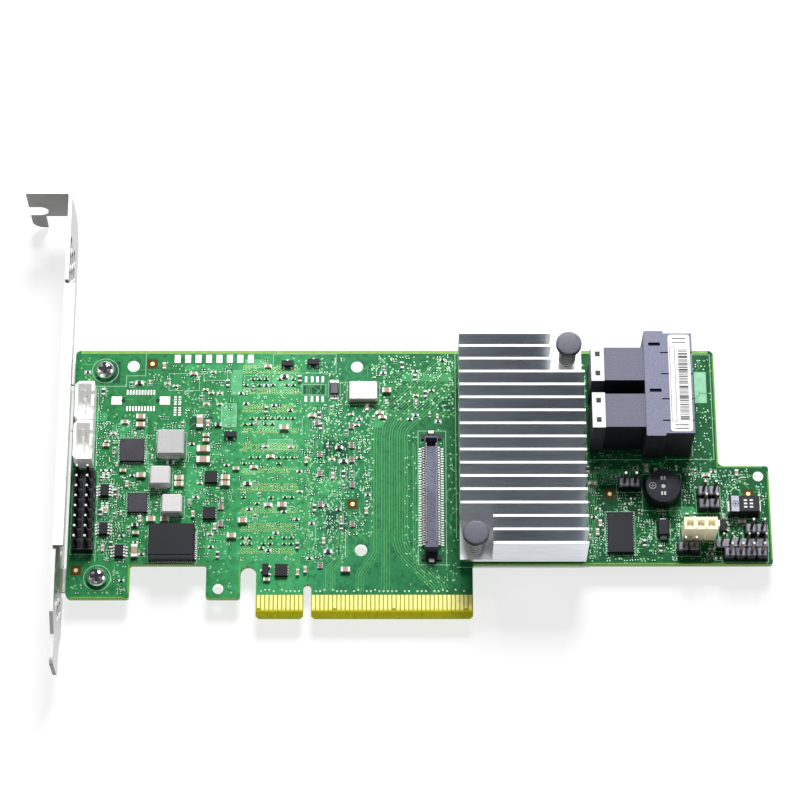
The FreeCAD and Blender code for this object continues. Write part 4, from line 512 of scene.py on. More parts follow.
MASKED = {
    "mask_plane": (0.045, 0.330, 0.115), "mask_bare": (0.006, 0.085, 0.040), "mask_pale": (0.120, 0.460, 0.210),
    "mask_mint": (0.300, 0.640, 0.410), "rim": (0.110, 0.400, 0.035), "speck_dark": (0.007, 0.045, 0.020),
    "mask_trace": (0.085, 0.360, 0.120), "fiducial_brown": (0.085, 0.048, 0.008), "laminate": (0.24, 0.46, 0.09),
}
PLATED = {
    "pad_small": (0.42, 0.78, 0.50), "dot_gold": (0.95, 0.68, 0.20), "via_tin": (0.36, 0.66, 0.38),
    "via_bright": (0.70, 0.86, 0.62), "via_olive": (0.36, 0.60, 0.20), "pad_tin": (0.90, 0.92, 0.86),
    "crystal_metal": (0.98, 0.97, 0.90),
}
# Colour, roughness and grain
METALS = {
    # pin_dark and pin_brass: pin metal painted dark, painted shade for the dark surroundings that the pins reflect.
    "gold": ((0.50, 0.38, 0.17), 0.34, 2.0), "pin_dark": ((0.075, 0.060, 0.045), 0.30, 2.0),
    "pin_brass": ((0.17, 0.12, 0.06), 0.34, 2.0), "screw_steel": ((0.92, 0.92, 0.94), 0.22, 3.0),
    "spring_steel": ((0.55, 0.55, 0.55), 0.30, 3.0), "die_silicon": ((0.25, 0.26, 0.29), 0.15),
}
# Colour, roughness, grain, spread of tones and relief
MOULDED = {
    "hole_wall": ((0.90, 0.92, 0.84), 0.7), "print_white": ((0.80, 0.80, 0.80), 0.6),
    "face_violet": ((0.048, 0.042, 0.058), 0.5, 2.0, 0.3), "face_grey": ((0.150, 0.125, 0.165), 0.5, 2.0, 0.2),
    "cell_grey": ((0.300, 0.305, 0.370), 0.35), "cell_black": ((0.014, 0.014, 0.017), 0.30),
    # via_well: painted shade in holes.
    "via_well": ((0.010, 0.030, 0.015), 0.6), "silkscreen": ((0.36, 0.66, 0.44), 0.7),
    "package_resin": ((0.05, 0.16, 0.08), 0.5), "thermal_grey": ((0.35, 0.35, 0.36), 0.8),
    "socket_grey": ((0.140, 0.145, 0.205), 0.5, 2.0, 0.45, 0.04),
    "white_plastic": ((0.95, 0.95, 0.93), 0.45, 3.0, 0.04), "cream_plastic": ((0.94, 0.87, 0.62), 0.45),
    "label_paper": ((0.90, 0.90, 0.89), 0.6), "label_ink": ((0.030, 0.030, 0.032), 0.7),
    "chip_resin": ((0.012, 0.013, 0.019), 0.5), "part_black": ((0.035, 0.035, 0.038), 0.35),
    "part_pink": ((0.24, 0.17, 0.16), 0.5), "coil_grey": ((0.50, 0.50, 0.50), 0.6),
    "coil_pale": ((0.66, 0.64, 0.64), 0.6), "crystal_ceramic": ((0.44, 0.35, 0.20), 0.6),
    "tank_resin": ((0.018, 0.018, 0.021), 0.45), "tank_band": ((0.50, 0.52, 0.60), 0.5),
    "capacitor_ceramic": ((0.46, 0.33, 0.23), 0.5),
}
# Painted light: colours of the faces that look up and of the sides, and roughness; the covers' dark sides are partly
# painted shade and partly their dark body under the white top
PAINTED_TOP_LIGHT = {
    "pin_plastic": ((0.125, 0.125, 0.160), (0.010, 0.010, 0.012), 0.40),
    "grey_plastic": ((0.200, 0.210, 0.300), (0.034, 0.035, 0.048), 0.45),
    "receptacle_grey": ((0.148, 0.153, 0.210), (0.024, 0.025, 0.034), 0.5),
    "cover_white": ((0.90, 0.90, 0.90), (0.080, 0.080, 0.085), 0.45),
    "black_plastic": ((0.036, 0.037, 0.050), (0.007, 0.007, 0.009), 0.42),
}
# Painted light: pale materials made to glow a little, standing in for light that passes through the plastic, so that
# their hollows aren't dark; the hole walls glow too
PAINTED_GLOW = (
    ("hole_wall", (0.90, 0.92, 0.84), 0.45), ("white_plastic", (1.0, 1.0, 0.98), 0.09),
    ("cream_plastic", (1.0, 0.92, 0.62), 0.12),
)


def make_materials():
    """Every material by name."""
    made = {
        "board": board_material(), "contact_gold": finger_gold(), "bracket_steel": sheet_steel(),
        "sink_aluminium": sink_metal(), "tin": plated("tin", (0.92, 0.92, 0.90), 0.32),
    }
    for make, table in ((masked, MASKED), (plated, PLATED)):
        made.update({name: make(name, colour) for name, colour in table.items()})
    for make, table in ((metal, METALS), (moulded, MOULDED), (painted_top_light, PAINTED_TOP_LIGHT)):
        made.update({name: make(name, *values) for name, values in table.items()})
    # Painted light: a weak glow on these materials.
    for name, colour, strength in PAINTED_GLOW:
        shader = next(node for node in made[name].node_tree.nodes if node.type == "BSDF_PRINCIPLED")
        shader.inputs["Emission Color"].default_value = opaque(colour)
        shader.inputs["Emission Strength"].default_value = strength
    return made


MATERIALS = make_materials()


def paint_frame():
    """Gives each CAD node the material of its slot."""
    slots = {part["node"]: part["material_slot"] for part in frame["record"]["subparts"]}
    for name, item in nodes.items():
        item.data.materials.clear()
        item.data.materials.append(MATERIALS[NODE_FINISH.get(name, slots[name])])


# Shapes in millimetres
class Mesh:
    """Collects faces in millimetres until they are made into one piece."""

    def __init__(self, name, material):
        self.name = name
        self.material = material
        self.points = []
        self.faces = []

    def put(self, points, faces):
        start = len(self.points)
        self.points.extend(tuple(map(float, point)) for point in points)
        self.faces.extend(tuple(start + index for index in face) for face in faces)

    def make(self, stands_for=(), smooth=False):
        """One object from all that was put in; it may stand for CAD nodes."""
        data = bpy.data.meshes.new(self.name)
        data.from_pydata([tuple(value * MM for value in point) for point in self.points], [], self.faces)
        data.validate()
        if smooth:
            data.shade_smooth()
            data.set_sharp_from_angle(angle=math.radians(35))
        data.materials.append(MATERIALS[self.material])
        item = stand(self.name, data)
        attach(item, "root")
        if stands_for:
            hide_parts(*stands_for)


def islands(name):
    """Low and high corners, in millimetres, of each loose solid of a CAD node."""
    data = nodes[name].data
    points = np.array([tuple(vertex.co) for vertex in data.vertices]) / MM
    keys = {}
    parent = list(range(len(points)))

    def root(index):
        while parent[index] != index:
            parent[index] = parent[parent[index]]
            index = parent[index]
        return index

    for index, point in enumerate(np.round(points, 3)):
        first = keys.setdefault(tuple(point), index)
        parent[root(index)] = root(first)
    for edge in data.edges:
        parent[root(edge.vertices[0])] = root(edge.vertices[1])
    groups = {}
    for index in range(len(points)):
        groups.setdefault(root(index), []).append(index)
    boxes = [(points[members].min(axis=0), points[members].max(axis=0)) for members in groups.values()]
    return sorted(boxes, key=lambda box: tuple(np.round(box[0], 2)))


def centre(low, high):
    """The middle, seen from above, of a box given by its corners."""
    return (low[0] + high[0]) / 2, (low[1] + high[1]) / 2


def soft_box(mesh, low, high, edge):
    """A box with its twelve edges cut by a bevel: each face is drawn in by the edge on both of its axes."""
    low, high = np.array(low, float), np.array(high, float)
    edge = min(edge, float((high - low).min()) * 0.45)
    ends = (low, high)
    index = {}
    points = []
    for corner in ((a, b, c) for a in (0, 1) for b in (0, 1) for c in (0, 1)):
        for axis in range(3):
            point = [ends[corner[k]][k] + (0 if k == axis else edge * (1 - 2 * corner[k])) for k in range(3)]
            index[corner, axis] = len(points)
            points.append(point)
    faces = []
    ring = ((0, 0), (1, 0), (1, 1), (0, 1))
    for axis in range(3):
        first, second = (axis + 1) % 3, (axis + 2) % 3
        for side in (0, 1):
            corners = []
            for a, b in ring:
                corner = [0, 0, 0]
                corner[axis], corner[first], corner[second] = side, a, b
                corners.append(tuple(corner))
            face = [index[corner, axis] for corner in corners]
            faces.append(face if side else face[::-1])
        for a in (0, 1):
            for b in (0, 1):
                start, end = [0, 0, 0], [0, 0, 0]
                start[first] = end[first] = a
                start[second] = end[second] = b
                end[axis] = 1
                start, end = tuple(start), tuple(end)
                face = [index[start, first], index[end, first], index[end, second], index[start, second]]
                faces.append(face if a != b else face[::-1])
    for corner in ((a, b, c) for a in (0, 1) for b in (0, 1) for c in (0, 1)):
        face = [index[corner, axis] for axis in range(3)]
        faces.append(face if sum(corner) % 2 else face[::-1])
    mesh.put(points, faces)


def bands(rows, sides):
    """Faces between rings of points that follow each other."""
    steps = [(row * sides + k, row * sides + (k + 1) % sides) for row in range(rows - 1) for k in range(sides)]
    return [(a, b, b + sides, a + sides) for a, b in steps]


def round_plate(mesh, low, high, corner):
    """A flat plate with quarter-circle corners of the given radius."""
    ring = []
    for quarter, (x, y) in enumerate(((high[0], high[1]), (low[0], high[1]), (low[0], low[1]), (high[0], low[1]))):
        x, y = x - corner * (1 if x == high[0] else -1), y - corner * (1 if y == high[1] else -1)
        for a in np.linspace(0, math.pi / 2, 6) + quarter * math.pi / 2:
            ring.append((x + corner * math.cos(a), y + corner * math.sin(a)))
    count = len(ring)
    points = [(x, y, z) for z in (low[2], high[2]) for x, y in ring]
    sides = [(k, (k + 1) % count, (k + 1) % count + count, k + count) for k in range(count)]
    mesh.put(points, sides + [tuple(range(count, 2 * count)), tuple(range(count - 1, -1, -1))])


def flat(mesh, ring, height):
    """A flat polygon that faces up, or down where its corners run clockwise."""
    mesh.put([(x, y, height) for x, y in ring], [tuple(range(len(ring)))])


def box_ring(left, low, right, high):
    """The corners of a rectangle."""
    return [(left, low), (right, low), (right, high), (left, high)]


def oblong(mesh, x, y, wide, long, height):
    """A flat rectangle about a middle."""
    half, rise = wide / 2, long / 2
    flat(mesh, box_ring(x - half, y - rise, x + half, y + rise), height)


def disc(mesh, x, y, radius, height, sides, under=False):
    """A flat disc: r (cos t, sin t)."""
    turn = -1 if under else 1
    angles = [turn * 2 * math.pi * k / sides for k in range(sides)]
    flat(mesh, [(x + radius * math.cos(a), y + radius * math.sin(a)) for a in angles], height)


def washer(mesh, x, y, inner, outer, height, sides):
    """A flat ring between two radii."""
    points = []
    for k in range(sides):
        a = 2 * math.pi * k / sides
        points += [(x + r * math.cos(a), y + r * math.sin(a), height) for r in (inner, outer)]
    count = 2 * sides
    mesh.put(points, [(2 * k, 2 * k + 1, (2 * k + 3) % count, (2 * k + 2) % count) for k in range(sides)])


def ribbon(mesh, path, wide, height, closed=False):
    """A flat line of one width along a path, mitred at its corners."""
    path = [np.array(point[:2], float) for point in path]
    count = len(path)
    sides = []
    for k in range(count):
        before = path[k] - path[k - 1] if (k or closed) else path[1] - path[0]
        after = path[(k + 1) % count] - path[k] if (k < count - 1 or closed) else before
        before, after = before / (np.linalg.norm(before) or 1), after / (np.linalg.norm(after) or 1)
        along = before + after
        along = along / (np.linalg.norm(along) or 1)
        across = np.array([-along[1], along[0]])
        reach = wide / 2 / max(0.5, float(abs(along @ before)))
        sides.append((path[k] - across * reach, path[k] + across * reach))
    points = [(*point, height) for pair in sides for point in pair]
    total = len(points)
    steps = count if closed else count - 1
    mesh.put(points, [(2 * k, (2 * k + 2) % total, (2 * k + 3) % total, 2 * k + 1) for k in range(steps)])


def frame_line(mesh, low, high, wide, height):
    """A rectangular outline."""
    ribbon(mesh, box_ring(*low[:2], *high[:2]), wide, height, True)


def plus_mark(mesh, x, y, inner, outer, bar, height):
    """A plus in a ring."""
    washer(mesh, x, y, inner, outer, height, 24)
    oblong(mesh, x, y, 0.95, bar, height)
    oblong(mesh, x, y, bar, 0.95, height + 0.002)


def lathe(mesh, profile, x, y, sides):
    """A profile (radius, height) turned about the upright line at x, y: (x + r cos t, y + r sin t, z)."""
    angles = [2 * math.pi * k / sides for k in range(sides)]
    points = [(x + r * math.cos(a), y + r * math.sin(a), height) for r, height in profile for a in angles]
    mesh.put(points, bands(len(profile), sides))


def tube(mesh, path, radius, sides=8):
    """A round wire along a path, with closed ends: p + r (side cos t + over sin t)."""
    path = [np.array(point, float) for point in path]
    points = []
    for k, point in enumerate(path):
        along = path[min(k + 1, len(path) - 1)] - path[max(k - 1, 0)]
        along /= np.linalg.norm(along)
        guide = np.array([0.0, 0.0, 1.0]) if abs(along[2]) < 0.9 else np.array([1.0, 0.0, 0.0])
        side = np.cross(along, guide)
        side /= np.linalg.norm(side)
        over = np.cross(side, along)
        for a in [2 * math.pi * j / sides for j in range(sides)]:
            points.append(point + radius * (math.cos(a) * side + math.sin(a) * over))
    last = len(points) - sides
    faces = [(a, d, c, b) for a, b, c, d in bands(len(path), sides)]
    mesh.put(points, faces + [tuple(range(sides)), tuple(range(last + sides - 1, last - 1, -1))])


def lead(mesh, start, out, wide, thick, rise, reach):
    """A gull-wing lead: from a package side it runs out, bends down over its rise and lies flat on its pad."""
    path = [(0, rise), (reach * 0.30, rise), (reach * 0.55, thick / 2), (reach, thick / 2)]
    start, out = np.array(start, float), np.array(out, float)
    side = np.array([-out[1], out[0]]) * wide / 2
    points = []
    for k, (run, height) in enumerate(path):
        slope = np.array(path[min(k + 1, 3)], float) - np.array(path[max(k - 1, 0)], float)
        slope = slope / np.linalg.norm(slope)
        lift = np.array([-slope[1], slope[0]]) * thick / 2
        for sign, over in ((-1, -1), (1, -1), (1, 1), (-1, 1)):
            spot = start + out * (run + over * lift[0]) + side * sign
            points.append((spot[0], spot[1], height + over * lift[1]))
    mesh.put(points, bands(4, 4) + [(3, 2, 1, 0), (12, 13, 14, 15)])


# The board's printed and plated details
def top_boxes():
    """Footprints of everything that stands on the component face."""
    kept = []
    for name in nodes:
        if name not in ("circuit_board", "edge_contacts", "bracket"):
            kept += [(*low[:2], *high[:2]) for low, high in islands(name) if high[2] > 0.2 and low[2] < 3]
    for spots, clear in ((HOLES + SCREWS, 3.3), (TOOLING + FIDUCIALS, 1.6)):
        kept += [(x - clear, y - clear, x + clear, y + clear) for x, y in spots]
    kept += KEPT_CLEAR
    return kept


class Ground:
    """Keeps account of which parts of the board are taken."""

    def __init__(self, taken):
        self.taken = list(taken)

    def free(self, x, y, wide, long, margin=0.0):
        a, b, c, d = x - wide / 2 - margin, y - long / 2 - margin, x + wide / 2 + margin, y + long / 2 + margin
        if not all(on_board(*corner) for corner in box_ring(a, b, c, d)):
            return False
        return not any(a < box[2] and c > box[0] and b < box[3] and d > box[1] for box in self.taken)

    def take(self, x, y, wide, long):
        self.taken.append((x - wide / 2, y - long / 2, x + wide / 2, y + long / 2))


def on_board(x, y, inset=0.5):
    """Whether a point lies well within the board's outline."""
    if not BOARD_LEFT + inset < x < BOARD_RIGHT - inset or y > BOARD_TOP - inset:
        return False
    if x > STEP_RIGHT - inset and y > STEP_UP - inset:
        return False
    if y > EDGE_LOW + inset:
        return True
    if x < TAB_END - inset or TAB_START + inset < x < TAB_STOP - inset:
        return y > TAB_LOW + inset
    if TONGUE_LEFT + inset < x < TONGUE_RIGHT - inset:
        return y > CONTACT_TOP + inset and (abs(x) > KEY_CLEAR or y > KEY_TOP)
    return False


def somewhere(area):
    """A random point in an area."""
    return dice.uniform(area[0], area[2]), dice.uniform(area[1], area[3])


def turned(long, wide, upright):
    """Width and length of a part that lies along X, or upright along Y."""
    return (wide, long) if upright else (long, wide)


def chip_part(bodies, ends, x, y, long, wide, tall, upright=False, base=0.0, down=False):
    """A two-ended chip part: a body between two metal ends."""
    cap = long * CAP_SHARE
    low_z, high_z = (base - tall, base) if down else (base, base + tall)
    for mesh, low, high, grow in (
        (bodies, -long / 2 + cap, long / 2 - cap, 0.0),
        (ends, -long / 2, -long / 2 + cap, 0.02),
        (ends, long / 2 - cap, long / 2, 0.02),
    ):
        half = wide / 2 + grow
        (left, near), (right, far) = turned(low, -half, upright), turned(high, half, upright)
        soft_box(mesh, (x + left, y + near, low_z), (x + right, y + far, high_z + grow), 0.04 if down else 0.05)


def via(rings, wells, x, y, radius, well=0.42):
    """A plated hole: a pale ring about a dark middle, painted shade in the hole, on both faces of the board."""
    for height, lift, under in ((VIA_AT, 0.008, False), (BOARD_BOTTOM - VIA_AT, -0.008, True)):
        disc(rings, x, y, radius, height, 8, under)
        disc(wells, x, y, radius * well, height + lift, 6, under)


def make_planes(meshes):
    """Copper planes that show bright through the mask, bare areas that show dark, and the board's pale rims."""
    cut = 0.6
    for left, low, right, high in BRIGHT_PLANES:
        ring = [
            (left + cut, low), (right - cut, low), (right, low + cut), (right, high - cut),
            (right - cut, high), (left + cut, high), (left, high - cut), (left, low + cut),
        ]
        flat(meshes["mask_plane"], ring, PLANE_AT)
    band = (BOARD_LEFT + 1.3, BOARD_TOP - 0.8, STEP_RIGHT - 1.3, BOARD_TOP - 0.02)
    for name, boxes, lift in (
        ("mask_pale", PALE_PLANES, 0.003), ("mask_mint", (MINT_BOX,), 0.003), ("mask_bare", BARE_AREAS, 0.005),
        ("laminate", (band,), 0.0),
    ):
        for box in boxes:
            flat(meshes[name], box_ring(*box), PLANE_AT + lift)
    for path in (
        ((STEP_RIGHT, BOARD_TOP - 1.4), (STEP_RIGHT, STEP_UP), (BOARD_RIGHT - 1.4, STEP_UP)),
        ((TAB_END, EDGE_LOW), (TAB_END, TAB_LOW + CORNER_CLEAR)),
        ((TAB_STOP, EDGE_LOW), (TAB_STOP, TAB_LOW + CORNER_CLEAR)),
        ((TAB_END - CORNER_CLEAR, TAB_LOW), (BOARD_LEFT + CORNER_CLEAR, TAB_LOW)),
        ((BOARD_RIGHT - CORNER_CLEAR, EDGE_LOW), (TONGUE_RIGHT, EDGE_LOW)),
        ((BOARD_RIGHT, STEP_UP - 1.4), (BOARD_RIGHT, EDGE_LOW + CORNER_CLEAR)),
    ):
        ribbon(meshes["rim"], beside(path, -0.20), RIM_WIDE, PLANE_AT + 0.004)


def beside(path, shift):
    """A path moved sideways by a distance, so that its bends stay parallel."""
    path = [np.array(point, float) for point in path]
    moved = []
    for k, point in enumerate(path):
        before = path[k] - path[k - 1] if k else path[1] - path[0]
        after = path[k + 1] - path[k] if k < len(path) - 1 else before
        before, after = before / np.linalg.norm(before), after / np.linalg.norm(after)
        along = before + after
        along /= np.linalg.norm(along)
        moved.append(point + np.array([-along[1], along[0]]) * shift / float(along @ before))
    return moved


def make_traces(meshes, ground):
    """Bundles of parallel traces, and single ones that wander from via to via in steps of 45 degrees."""
    lines = meshes["mask_trace"]
    for path, count, pitch in BUNDLES:
        for k in range(count):
            run = beside(path, (k - (count - 1) / 2) * pitch)
            ribbon(lines, run, TRACE_WIDE * (0.7 + 0.6 * ((k * 5) % 3) / 2), TRACE_AT + 0.001 * (k % 2))
    for *area, count, aim in WANDER_AREAS:
        low_x, low_y, high_x, high_y = area
        for _ in range(count):
            x, y = somewhere(area)
            heading = math.radians(aim + dice.choice((0, 0, 45, -45, 180)))
            run = [(x, y)]
            for _ in range(dice.randint(1, 3)):
                length = dice.uniform(0.6, 3.0)
                x, y = x + length * math.cos(heading), y + length * math.sin(heading)
                if not (low_x < x < high_x and low_y < y < high_y and on_board(x, y, 0.8)):
                    break
                run.append((x, y))
                heading += math.radians(dice.choice((45, -45)))
            if len(run) > 1 and all(on_board(*spot, 0.8) for spot in run):
                ribbon(lines, run, TRACE_WIDE, TRACE_AT + 0.0005 * dice.randint(0, 9))
                if ground.free(*run[-1], 0.5, 0.5):
                    via(meshes["via_tin"], meshes["via_well"], *run[-1], 0.22)


def make_vias(meshes, ground):
    """Ranks of vias at the memory chips, loose ones over the board, and a row above the contacts."""
    wells = meshes["via_well"]
    for block in range(MEMORY_BLOCKS):
        middle = MEMORY_FIRST + MEMORY_STEP * block
        for number, rank in enumerate(VIA_RANKS):
            for x in np.arange(MEMORY_LEFT, MEMORY_RIGHT, 0.8):
                x = x + 0.4 * (number % 2)
                if dice.random() < 0.92 and ground.free(x, middle + rank, 0.5, 0.5):
                    via(meshes["via_olive"], wells, x, middle + rank + dice.uniform(-0.06, 0.06), 0.30, 0.62)
        for rank in DASH_RANKS:
            for x in np.arange(MEMORY_LEFT + 0.5, MEMORY_RIGHT, 1.65):
                if dice.random() < 0.75 and ground.free(x, middle + rank, 1.2, 0.5):
                    chip_part(meshes["part_black"], meshes["via_bright"], x, middle + rank, 1.15, 0.42, 0.30)
    for *area, count, radius in VIA_AREAS:
        for _ in range(count):
            x, y = somewhere(area)
            if on_board(x, y, 0.6) and ground.free(x, y, 0.6, 0.6):
                via(meshes["via_tin"], wells, x, y, radius * dice.uniform(0.85, 1.1))
    x = TONGUE_LEFT + 1.2
    while x < TONGUE_RIGHT - 1:
        if abs(x) > 1.8:
            via(meshes["via_bright"], wells, x, CONTACT_TOP + 0.95 + 0.35 * (dice.random() < 0.3), 0.22)
        x += dice.choice((1.0, 1.0, 2.0))


def make_small_parts(meshes, ground):
    """Chip resistors and capacitors too small to be parts of their own, on their pads, and arrays of four."""
    ends = meshes["tin"]
    for x, y, upright, kind in SET_PARTS:
        size = turned(*SET_SIZE, upright)
        if ground.free(x, y, *size):
            chip_part(meshes[kind], ends, x, y, *SET_SIZE, SET_SIZE[0] * 0.42, upright)
            ground.take(x, y, *size)
    for *area, count, upright_share, kinds in PART_AREAS:
        for _ in range(count):
            x, y = somewhere(area)
            upright = dice.random() < upright_share
            long, wide = dice.choice(AREA_SIZES)
            size_x, size_y = turned(long, wide, upright)
            if not ground.free(x, y, size_x + 0.4, size_y + 0.4, 0.15):
                continue
            ground.take(x, y, size_x, size_y)
            chip_part(meshes[dice.choice(kinds)], ends, x, y, long, wide, wide * 0.62, upright)
            more_x, more_y = turned(0.35, 0.05, upright)
            oblong(meshes["pad_tin"], x, y, size_x + more_x, size_y + more_y, PAD_AT - 0.02)
            if dice.random() < 0.5:
                half, rise = size_x / 2 + 0.3, size_y / 2 + 0.3
                frame_line(meshes["silkscreen"], (x - half, y - rise), (x + half, y + rise), 0.10, INK_AT)
    for x, y in ARRAYS:
        soft_box(meshes["part_pink"], (x - 0.4, y - 0.8, 0), (x + 0.4, y + 0.8, 0.40), 0.05)
        for step in (-0.6, -0.2, 0.2, 0.6):
            for side in (-1, 1):
                near, far = sorted((x + side * 0.34, x + side * 0.62))
                soft_box(ends, (near, y + step - 0.11, 0), (far, y + step + 0.11, 0.36), 0.03)


def make_specks(meshes, ground):
    """Pairs of very small pads on a dark patch, a painted shadow of the tiny part, and short printed ticks beside
    them.
    """
    for *area, count in SPECK_AREAS:
        for _ in range(count):
            x, y = somewhere(area)
            upright = dice.random() < 0.5
            if not ground.free(x, y, *turned(1.1, 0.5, upright)):
                continue
            for side in (-0.30, 0.30):
                shift_x, shift_y = turned(side, 0.0, upright)
                oblong(meshes["pad_small"], x + shift_x, y + shift_y, 0.26, 0.28, VIA_AT + 0.004)
            # Painted shadow: a dark patch under each pair of pads.
            oblong(meshes["speck_dark"], x, y, *turned(1.16, 0.62, upright), TRACE_AT + 0.008)
            if dice.random() < 0.4:
                shift_x, shift_y = turned(0.0, dice.choice((-0.62, 0.62)), upright)
                oblong(meshes["silkscreen"], x + shift_x, y + shift_y, *turned(1.0, 0.12, upright), INK_AT)


def make_footprints(meshes):
    """Places where nothing is fitted: bare pads, with the outline that is printed round them."""
    ink, middle = meshes["silkscreen"], sum(EMPTY_ROWS) / 2
    spots = [(TOP_PADS_LEFT + k * TOP_PITCH, TOP_PADS_UP, 1.40, 2.05) for k in range(TOP_PADS)]
    spots += [(EMPTY_LEFT + k * EMPTY_PITCH, row, 0.38, 1.25) for row in EMPTY_ROWS for k in range(EMPTY_PADS)]
    spots += [(x, middle, 2.5, 2.1) for x in EMPTY_ENDS]
    spots += [(x, low + 0.75, 0.55, 1.5) for x in EMPTY_CHIP for low in EMPTY_CHIP_ROWS]
    for x, y in EMPTY_ARRAYS:
        spots += [(x + side, y + (k - 1.5) * 0.62, 0.62, 0.34) for k in range(4) for side in (-0.55, 0.55)]
    for spot in spots:
        oblong(meshes["pad_tin"], *spot, PAD_AT)
    # Painted shade: a dark disc in each alignment hole.
    for x in EMPTY_HOLES:
        disc(meshes["via_well"], x, middle, 0.5, PAD_AT + 0.01, 16)
    for low, high in INK_FRAMES:
        frame_line(ink, low, high, INK_WIDE, INK_AT)
    for path in INK_LINES:
        ribbon(ink, path, INK_WIDE, INK_AT)


def make_ink(meshes):
    """Printed outlines, a dot at the first pin, rings at the screws, pale walls in the holes that glow as painted
    light, and fiducials.
    """
    ink = meshes["silkscreen"]
    gap = 0.45
    for name in OUTLINED:
        for low, high in islands(name):
            if high[2] >= 0.3 and high[0] - low[0] >= 1.5:
                frame_line(ink, (low[0] - gap, low[1] - gap), (high[0] + gap, high[1] + gap), 0.11, INK_AT)
                disc(ink, low[0] - 1.0, high[1] - 0.3, 0.22, INK_AT, 10)
    for spots, radius in ((HOLES, HOLE_RADIUS), (TOOLING, TOOLING_RADIUS)):
        for x, y in spots:
            lathe(meshes["hole_wall"], [(radius - 0.012, 0.0), (radius - 0.012, BOARD_BOTTOM)], x, y, 40)
    for x, y in SCREWS:
        washer(ink, x, y, 3.12, 3.26, INK_AT, 32)
    for x, y in FIDUCIALS:
        oblong(meshes["fiducial_brown"], x, y, 2.5, 2.5, INK_AT - 0.004)
        disc(meshes["dot_gold"], x, y, 0.52, PAD_AT - 0.004, 16)
        disc(meshes["pad_tin"], x, y, 0.26, PAD_AT, 12)


def make_solder(meshes):
    """A cone of solder under the board and a bare ring on it at each pin."""
    for name in PIN_NODES:
        for low, high in islands(name):
            x, y = centre(low, high)
            reach = (high[0] - low[0]) / 2
            profile = ((0.01, 0.95), (reach + 0.12, 0.75), (reach + 0.30, 0.25), (reach + 0.50, 0.002))
            lathe(meshes["solder"], [(radius, BOARD_BOTTOM - drop) for radius, drop in profile], x, y, 14)
            washer(meshes["pad_tin"], x, y, reach, reach + 0.62, PAD_AT, 16)


def make_overlay():
    """All flat and small details of the board, one piece for each material."""
    meshes = {name: Mesh("board_" + name, name) for name in OVERLAY}
    meshes["solder"] = Mesh("solder_cones", "tin")
    ground = Ground(top_boxes())
    make_planes(meshes)
    make_traces(meshes, ground)
    make_footprints(meshes)
    make_small_parts(meshes, ground)
    make_specks(meshes, ground)
    make_vias(meshes, ground)
    make_ink(meshes)
    make_solder(meshes)
    for key, mesh in meshes.items():
        if mesh.faces:
            mesh.make((), key == "solder")


# Finer pieces that stand for CAD nodes
def make_capacitors():
    """The ceramic capacitors with their two metal ends each."""
    for name, piece in (("ceramic_capacitors", "chip_capacitors"), ("underside_capacitors", "chip_capacitors_below")):
        body, ends = Mesh(piece, CERAMIC), Mesh(piece + "_ends", "tin")
        for low, high in islands(name):
            upright = high[1] - low[1] > high[0] - low[0]
            long, wide = (high - low)[[1, 0]] if upright else (high - low)[[0, 1]]
            down = low[2] + high[2] < 0
            base = high[2] if down else low[2]
            chip_part(body, ends, *centre(low, high), long, wide - 0.04, high[2] - low[2] - 0.02, upright, base, down)
        body.make((name,))
        ends.make()


def chip_pads(pads, low, high, all_round):
    """Pads along two or all four sides of a flat chip, at the chip's pitch."""
    under = high[2] < 0
    base, rise = (high[2] - CHIP_PAD_TALL, high[2]) if under else (low[2], low[2] + CHIP_PAD_TALL)
    count = int((high[1] - low[1]) / CHIP_PITCH)
    for k in range(count):
        step = (k - (count - 1) / 2) * CHIP_PITCH
        for axis in (0, 1):
            if axis == 1 and not (all_round and abs(step) < (high[0] - low[0]) / 2 - 0.4):
                continue
            across = centre(low, high)[1 - axis] + step
            for near, far in (
                (low[axis] - CHIP_PAD_OUT, low[axis] + CHIP_PAD_IN),
                (high[axis] - CHIP_PAD_IN, high[axis] + CHIP_PAD_OUT),
            ):
                start = turned(near, across - CHIP_PAD_HALF, axis == 1)
                end = turned(far, across + CHIP_PAD_HALF, axis == 1)
                soft_box(pads, (*start, base), (*end, rise), 0.04)


def make_chips():
    """Moulded packages with soft edges and a dimple at the first pin, and pads along the flat ones' sides."""
    pads, dots = Mesh("chip_pads", "tin"), Mesh("chip_dimples", "part_black")
    faces = {name: Mesh("chip_" + name, name) for name in ("face_violet", "face_grey")}
    for name in CHIP_NODES:
        body = Mesh(name + "_finish", "chip_resin")
        for low, high in islands(name):
            soft_box(body, low, high, 0.10)
            under = high[2] < 0
            top = low[2] - MARK_LIFT if under else high[2] + MARK_LIFT
            inset = min(high[0] - low[0], high[1] - low[1]) * 0.16
            disc(dots, low[0] + inset, high[1] - inset, inset * 0.38, top, 16, under)
            pale = name == "logic_chips" and low[1] > PALE_CHIP_FROM
            if pale or name in ALL_ROUND:
                wide, long = high[0] - low[0] - 0.3, high[1] - low[1] - 0.3
                oblong(faces["face_grey" if pale else "face_violet"], *centre(low, high), wide, long, top - 0.006)
            if name in PADDED:
                chip_pads(pads, low, high, name in ALL_ROUND)
        body.make((name,))
    for mesh in (pads, dots, *faces.values()):
        mesh.make()


